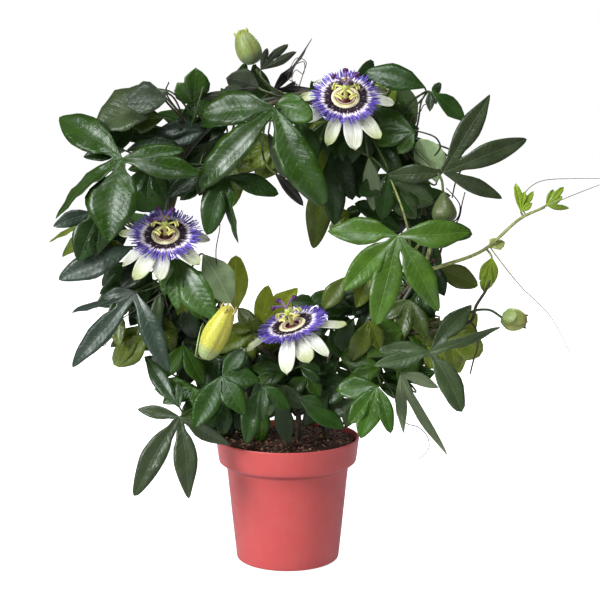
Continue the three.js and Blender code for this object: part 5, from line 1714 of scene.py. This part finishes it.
def make_petals(name, matrix):
    rows = PETALS_SEEN[name] + [(*row, 1.0) for row in PETALS_HIDDEN[name]]
    to_flower = matrix.inverted()
    parts = []
    for k, (across, down, droop, wide) in enumerate(rows):
        angle, reach = tip_in_flower(to_flower, across, down, droop)
        petal = make_petal_model(f"{name}_{k}", reach, PETAL_HALF_WIDTH * wide, droop, k % 2 == 0)
        petal.data.transform(Matrix.Rotation(angle, 4, "Z"))
        parts.append(petal)
    cup = turned("cup", CUP_PROFILE, 20)
    cup.data.uv_layers.new(name="UVMap")
    cover(cup, SEPAL_BACK)
    return join(f"{name}_petals", [*parts, cup])


print("petals and sepals that show:", sum(len(rows) for rows in PETALS_SEEN.values()))

# %% [markdown]
# ## The ring of threads
# The corona is a fringe of fine threads in two rows. Each thread is dark purple at its foot, then
# pinkish white, then violet to its tip, and together they draw the rings that one sees on the
# flower. A shorter, nearly black row stands round the cream ring in the middle.

# %% Threads
PURPLE = tint("#2b0b24") * 0.8
PINKISH_WHITE = tint("#f4e8f6") * 0.95
VIOLET = tint("#4d30ae")
PALE_VIOLET = tint("#9480de")
THREAD_START = 12.2
THREAD_REACH = {"bloom_top": 27.4, "bloom_left": 29.2, "bloom_low": 29.8}
THREAD_SIDES = 4
THREAD_STEPS = 10
# The number of threads in each row, their share of the reach and how much higher the row stands
THREAD_ROWS = [(120, 1.0, 0.0), (110, 0.9, 1.1)]


def thread_tones(draw):
    """The colour of one thread at each distance from the middle of the flower"""
    dark_end, pale_end = draw.uniform(15.6, 17.8), draw.uniform(17.8, 20.6)
    tip = mix(VIOLET, PALE_VIOLET, draw.random()) * draw.uniform(0.55, 1.0)

    def tone_at(radius):
        if radius < dark_end:
            return PURPLE
        if radius < pale_end:
            return mix(PURPLE, PINKISH_WHITE, smoothstep((radius - dark_end) / 1.2))
        return mix(PINKISH_WHITE, tip, smoothstep((radius - pale_end) / 1.6))

    return tone_at


def add_thread(sheet, angle, start, end, sway, thickness, tone_at):
    """A thread from one (radius, height) to another at an angle, swaying sideways on its way"""
    def place(share):
        height = mix(start[1], end[1], share ** 1.6)
        return polar(mix(start[0], end[0], share), angle + sway * share * share, height)

    def width(share):
        return thickness * (1 - 0.35 * share ** 3)

    add_tube(sheet, place, width, THREAD_SIDES, THREAD_STEPS, PURPLE)
    tones = [(*tone_at(mix(start[0], end[0], ring / THREAD_STEPS)), 1.0) for ring in range(THREAD_STEPS + 1)]
    sheet.tones[-THREAD_SIDES * len(tones):] = [tone for tone in tones for side in range(THREAD_SIDES)]


def make_corona(reach, draw):
    sheet = Sheet()
    for row, (count, share, rise) in enumerate(THREAD_ROWS):
        for k in range(count):
            angle = 2 * math.pi * (k + 0.5 * row) / count + draw.uniform(-0.014, 0.014)
            end = (reach * share + draw.uniform(-1.8, 0.9), 3.0 + rise + draw.uniform(-0.8, 0.9))
            add_thread(sheet, angle, (THREAD_START, 1.8 + rise), end, draw.uniform(-0.09, 0.09), 0.52,
                       thread_tones(draw))
    return sheet.make("corona", THREADS)


print("threads round a flower:", sum(count for count, share, rise in THREAD_ROWS))

# %% [markdown]
# ## The raised ring
# Inside the fringe stands a smooth ring: a dark pit in the middle, a pinkish disc, a thin brown line
# and a cream rim. Outside it lie a dark disc and, on that, the row of short dark threads.

# %% The raised ring
RING_PROFILE = [
    (5.3, 0.9), (5.3, 2.2), (5.9, 3.0), (6.9, 3.4), (7.8, 3.5), (8.1, 3.35), (8.5, 3.6), (9.4, 3.8),
    (10.3, 3.6), (11.1, 2.9), (11.7, 2.0), (12.4, 1.5), (16.2, 1.3), (16.4, 0.9), (5.3, 0.9),
]
# The colour up to each radius
RING_BANDS = [(5.7, "#3c1020"), (6.3, "#8a4a58"), (7.7, "#e6d2c4"), (8.3, "#7a5a30"), (9.2, "#f0e6b4"),
              (9.7, "#d8c890"), (11.2, "#f4eec8")]
SHORT_THREADS = 78
PALE_THREAD_EVERY = 6


def ring_tone(spot):
    radius = math.hypot(spot.x, spot.y)
    for edge, text in RING_BANDS:
        if radius <= edge:
            return tint(text) * 0.9
    return PURPLE


def make_crown(draw):
    ring = turned("ring", RING_PROFILE, 48, closed_ring=True)
    paint(ring, ring_tone)
    cover(ring, THREADS)
    sheet = Sheet()
    for k in range(SHORT_THREADS):
        angle = 2 * math.pi * k / SHORT_THREADS + draw.uniform(-0.03, 0.03)
        end = (15.8 + draw.uniform(-1.4, 1.2), 4.2 + draw.uniform(-0.5, 0.8))
        tip = mix(PURPLE, PINKISH_WHITE, 0.5 if k % PALE_THREAD_EVERY == 0 else 0.03)
        add_thread(sheet, angle, (10.8, 2.6), end, draw.uniform(-0.05, 0.05), 0.42,
                   lambda radius, tip=tip: mix(PURPLE, tip, smoothstep((radius - 12) / 4)))
    return join("crown", [ring, sheet.make("short_threads", THREADS)])


print("raised ring:", 2 * max(radius for radius, height in RING_PROFILE), "mm across")

# %% [markdown]
# ## The column, the stamens and the stigmas
# The column in the middle carries the ovary. Five stamens spread below it, each with a broad anther
# that hangs across its end, and three violet arms with dark clubs spread above it. An anther starts
# as a cube: it is stretched, pinched along its middle and rounded by subdivision.

# %% Column and stamens
COLUMN_PROFILE = [
    (0, 1), (4.8, 1), (4.6, 1.7), (3.4, 2.3), (2.2, 3.0), (1.9, 4.2), (1.7, 7), (1.7, 12.0), (2.1, 13.1),
    (2.7, 14.8), (2.6, 16.0), (2.0, 17.4), (1.1, 18.0), (0, 18.1),
]
COLUMN_FOOT, OVARY_FOOT = 3.4, 13.2
ANTHER_SIZE = (3.0, 6.8, 1.9)
ANTHER_PLACE = (9.2, 0, 13.0)
STAMEN_LINE = [(0.8, 0, 12.6), (5.0, 0, 14.8), (8.9, 0, 13.4)]
STAMEN_COUNT = 5


def make_anther():
    deselect_all()
    bpy.ops.mesh.primitive_cube_add(size=1)
    anther = bpy.context.object
    anther.scale = [side * MM for side in ANTHER_SIZE]
    bpy.ops.object.transform_apply(location=False, rotation=False, scale=True)
    edit_all(bpy.ops.mesh.subdivide, number_cuts=3)
    for vertex in anther.data.vertices:
        pinch = 1 - 0.35 * math.exp(-(vertex.co.x / (0.45 * MM)) ** 2)
        vertex.co.z *= pinch
        vertex.co.z -= 1.1 * MM * (vertex.co.y / (4 * MM)) ** 2
    rounding = anther.modifiers.new("rounding", "SUBSURF")
    rounding.levels = rounding.render_levels = 1
    apply_modifiers(anther)
    anther.data.shade_smooth()
    anther.data.transform(Matrix.Translation(Vector(ANTHER_PLACE) * MM))
    return anther


def column_tone(spot):
    if spot.z < COLUMN_FOOT:
        return tint("#5c2028")
    return tint("#b6c266" if spot.z > OVARY_FOOT else "#d2cc7c")


def anther_tone(spot):
    return tint("#efe08a" if abs(spot.x - ANTHER_PLACE[0]) > 0.8 else "#8f8f3c")


def make_stamen():
    sheet = Sheet()
    arm = bend_path(*np.array(STAMEN_LINE))
    add_tube(sheet, arm, lambda share: 1.05 - 0.4 * share, 8, 6, tint("#d6d67c"))
    anther = make_anther()
    paint(anther, anther_tone)
    return join("stamen", [sheet.make("stamen_arm"), anther])


def join_waxy(name, parts):
    for part in parts:
        cover(part, WAXY)
    return join(name, parts)


def make_column():
    column = turned("column", COLUMN_PROFILE, 20)
    paint(column, column_tone)
    stamen = make_stamen()
    turns = [360 / STAMEN_COUNT * k + 18 for k in range(STAMEN_COUNT)]
    parts = [placed_copy(stamen, f"stamen_{turn:.0f}", turn_by(turn)) for turn in turns]
    bpy.data.objects.remove(stamen)
    return join_waxy("column_and_stamens", [column, *parts])


print("column:", COLUMN_PROFILE[-1][1], "mm high")


# %% Stigmas
STYLE_ANGLES = {"bloom_top": (38, 92, 155), "bloom_left": (52, 118, 200), "bloom_low": (40, 120, 190)}
STYLE_LINE = [(0.3, 0, 18.2), (4.6, 0, 23.0), (10, 0, 22.0)]
CLUB_PLACE = (10.6, 0, 22.2)
CLUB_RADIUS = 2.1
KNOB_PROFILE = [(0, 18.1), (1.3, 18.1), (1.45, 18.8), (1.0, 19.6), (0, 19.8)]


def make_style():
    deselect_all()
    bpy.ops.mesh.primitive_uv_sphere_add(segments=14, ring_count=10, radius=CLUB_RADIUS * MM)
    club = bpy.context.object
    for vertex in club.data.vertices:
        vertex.co.x *= 1.0 - 0.25 * math.exp(-(vertex.co.y / (0.6 * MM)) ** 2)
        vertex.co.y *= 1.15
    club.data.shade_smooth()
    club.data.transform(Matrix.Translation(Vector(CLUB_PLACE) * MM))
    paint(club, lambda spot: tint("#451648"))
    sheet = Sheet()
    add_tube(sheet, bend_path(*np.array(STYLE_LINE)), lambda share: 0.9 + 0.25 * share, 8, 8,
             tint("#7c6560"), tint("#54298c"))
    return join("style", [sheet.make("style_arm"), club])


def make_stigmas(angles):
    model = make_style()
    parts = [placed_copy(model, f"style_{angle}", turn_by(angle)) for angle in angles]
    bpy.data.objects.remove(model)
    knob = turned("knob", KNOB_PROFILE, 14)
    paint(knob, lambda spot: tint("#7d5f8e"))
    return join_waxy("stigmas", [*parts, knob])


print("the styles' angles:", STYLE_ANGLES)


# %% Place the flowers
def facing_matrix(centre, axis):
    facing = Vector((0, 0, 1)).rotation_difference(Vector(axis).normalized()).to_matrix().to_4x4()
    return Matrix.Translation(Vector(centre) * MM) @ facing


def build_flowers():
    column = make_column()
    for number, (name, stem, centre, axis, bend) in enumerate(BLOOMS):
        matrix = facing_matrix(centre, axis)
        draw = random.Random(10 + number)
        petals = make_petals(name, matrix)
        corona, crown = make_corona(THREAD_REACH[name], draw), make_crown(draw)
        stigmas = make_stigmas(STYLE_ANGLES[name])
        for model in (petals, corona, crown, stigmas):
            model.data.transform(matrix)
        corona.name, crown.name, stigmas.name = f"{name}_threads", f"{name}_ring", f"{name}_styles"
        keep(petals, "petal_white", f"{name}_tepals")
        keep(corona, "corona_violet", f"{name}_corona")
        keep(crown, "crown_purple", f"{name}_crown")
        keep(placed_copy(column, f"{name}_stamens", matrix), "column_cream", f"{name}_column")
        keep(stigmas, "stigma_purple", f"{name}_stigmas")
    bpy.data.objects.remove(column)


build_flowers()

# %% [markdown]
# ## The buds
# A bud is an egg of five sepals whose edges meet in seams. Each sepal ends in a small green horn. A
# sphere is shaped into the egg ring by ring, and pressed in along its seams. The bud that is about
# to open is longer and yellow, with browned edges and a pale bract at its foot, and the one that
# hangs is narrow at its stalk.

# %% Model a bud
BUD_OUTLINE = [(0, 0.0), (0.02, 0.42), (0.1, 0.72), (0.2, 0.9), (0.3, 0.98), (0.42, 1.0), (0.55, 0.96),
               (0.68, 0.86), (0.8, 0.72), (0.9, 0.54), (0.96, 0.36), (1, 0.0)]
HANGING_OUTLINE = [(0, 0.0), (0.02, 0.16), (0.12, 0.34), (0.3, 0.66), (0.5, 0.9), (0.65, 1.0), (0.8, 0.94),
                   (0.92, 0.66), (0.97, 0.4), (1, 0.0)]
SEAM_DEPTH = 0.07
SEPAL_COUNT = 5
BRACT_THICKNESS = 0.4


def shape_bud(name, radius, length):
    deselect_all()
    bpy.ops.mesh.primitive_uv_sphere_add(segments=50, ring_count=26, radius=1)
    bud = bpy.context.object
    shares, widths = zip(*(HANGING_OUTLINE if name == "bud_hanging" else BUD_OUTLINE))
    for vertex in bud.data.vertices:
        share = (vertex.co.z + 1) / 2
        angle = math.atan2(vertex.co.y, vertex.co.x)
        seam = abs(math.sin(SEPAL_COUNT / 2 * angle))
        press = 1 - SEAM_DEPTH * (1 - seam) ** 4 * math.sin(math.pi * share) ** 0.5 + 0.03 * seam ** 6
        reach = radius * float(np.interp(share, shares, widths)) * press
        vertex.co = Vector(polar(reach, angle, share * length)) * MM
    bud.data.shade_smooth()
    return bud


def add_horns(sheet, radius, length, tone):
    for k in range(SEPAL_COUNT):
        ray = polar(1, math.radians(360 / SEPAL_COUNT * k + 36))
        foot = ray * 0.5 * radius + np.array([0, 0, 0.88 * length])
        tip = ray * 0.56 * radius + np.array([0, 0, 0.99 * length])
        add_tube(sheet, bend_path(foot, (foot + tip) / 2 + ray * 0.7, tip), lambda share: 1.3 - 0.8 * share,
                 8, 5, tone)


def make_bract(radius, reach):
    """A pointed scale that clasps the foot of a bud and stands away from it at its tip"""
    deselect_all()
    bpy.ops.mesh.primitive_grid_add(x_subdivisions=10, y_subdivisions=6, size=2)
    bract = bpy.context.object
    for vertex in bract.data.vertices:
        share, across = (vertex.co.x + 1) / 2, vertex.co.y
        angle = across * 0.7 * math.sin(math.pi * (0.12 + 0.88 * share)) ** 0.7
        shell = radius * (0.4 + 0.75 * math.sin(math.pi * (0.1 + 0.42 * share)) + 0.12 * share ** 3)
        vertex.co = Vector(polar(shell, angle, reach * (share - 0.06))) * MM
    edit_all(bpy.ops.mesh.remove_doubles, threshold=0.01 * MM)
    thicken(bract, BRACT_THICKNESS, offset=-1, back=0)
    bract.data.shade_smooth()
    return bract


print("a bud is widest at", max(BUD_OUTLINE, key=lambda row: row[1])[0], "of its length")

# %% Place the buds
# The tone of a bud's body, foot and tip
BUD_TONES = {
    "bud_top": ("#8a9a56", "#75855a", "#a9b04a"), "bud_opening": ("#d8d458", "#b4c482", "#c4b458"),
    "bud_right": ("#a6b25e", "#8a9c58", "#6b5a34"), "bud_hanging": ("#5a683c", "#536238", "#465030"),
}
# The way each bract of a bud faces, in degrees round the bud
BRACT_ANGLES = {"bud_top": [], "bud_opening": [165], "bud_right": [60, 240], "bud_hanging": []}


def bud_tone(name, length):
    upper, lower, tip = (tint(text) * 0.75 for text in BUD_TONES[name])

    def tone_at(spot):
        share = spot.z / length
        angle = math.atan2(spot.y, spot.x)
        seam = (1 - abs(math.sin(SEPAL_COUNT / 2 * angle))) ** 3 * (0.4 + 0.6 * smoothstep(0.5 + spot.x / 10))
        tone = mix(lower, upper, smoothstep((share - 0.18) / 0.14))
        tone = mix(tone, tip, 0.6 * smoothstep((share - 0.75) / 0.25))
        return mix(tone, tint("#7a5226") * 0.5, 0.7 * seam * smoothstep(share / 0.3))

    return tone_at


def build_bud(name, base, tip, radius):
    length = math.dist(base, tip)
    bud = shape_bud(name, radius, length)
    paint(bud, bud_tone(name, length))
    horns = Sheet()
    add_horns(horns, radius, length, tint(BUD_TONES[name][2]) * 0.75)
    parts = [bud, horns.make("horns")]
    for angle in BRACT_ANGLES[name]:
        bract = make_bract(radius, 0.55 * length)
        bract.data.transform(turn_by(angle))
        paint(bract, lambda spot: tint(BUD_TONES[name][1]) * 0.85)
        parts.append(bract)
    whole = join_waxy(f"{name}_sepals", parts)
    whole.data.transform(facing_matrix(base, Vector(tip) - Vector(base)))
    slot = "bud_yellow" if name == "bud_opening" else "bud_green"
    keep(whole, slot, name)


for bud_name, bud_stem, bud_base, bud_tip, bud_radius, bud_path in BUDS:
    build_bud(bud_name, bud_base, bud_tip, bud_radius)

# %% [markdown]
# ## The young shoot
# A fast shoot reaches out to the right. It is yellow-green, its leaves are still small, and its
# tendrils, fine as string, feel for something to hold.

# %% Build the shoot
SHOOT_PATH = [(114, -14, 247), (132, -18, 251.5), (158, -24, 262.8), (187, -26, 288.5), (206, -26, 297.6)]
SHOOT_LEAVES = [
    (165, -25, 257, 0, 0, 0.8, [(257, 30, 0, 1.25), (240, 22, 0, 0.7), (276, 24, 0, 0.7)], "bright"),
    (164, -25, 265, 20, 0, 0.7, [(18, 13), (62, 9)], "young"),
    (187, -27, 294, 0, 0, 0.45, [(98, 24), (80, 17), (62, 20), (40, 12)], "bright"),
    (207, -26, 299, 10, 0, 0.5, [(42, 22), (28, 16), (58, 15), (352, 20, 40, 0.8)], "bright"),
]
TENDRILS = [
    [(187, -26, 299), (192, -24, 311), (203, -22, 318), (227, -20, 320), (251, -18, 320)],
    [(209, -26, 299), (229, -30, 308), (248, -34, 316)],
    [(167, -27, 260), (187, -30, 235), (211, -34, 211), (229, -36, 179)],
]


def build_shoot(draw):
    carrier = STEMS["stem_right_side"]["path"]
    root = stalk_root(carrier, np.array(SHOOT_PATH[0], float))
    path = smooth_path([root, *SHOOT_PATH])
    wood, blades = Sheet(), Sheet()
    add_tube(wood, path, lambda share: 1.8 - 0.7 * share, 10, 40, TONES["young"], TONES["young"] * 0.9)
    for row in SHOOT_LEAVES:
        add_leaf(blades, row, draw)
        add_leaf_stalk(wood, path, row, "young")
    for points in TENDRILS:
        way = smooth_path([stalk_root(path, np.array(points[0], float)), *points])
        add_tube(wood, way, lambda share: TENDRIL_RADIUS * (1.3 - 0.7 * share), 6, 40,
                 TONES["young"], TONES["tendril"])
    keep_stem("young_shoot", "young_green", blades, wood, "young_shoot_stem")


build_shoot(random.Random(21))
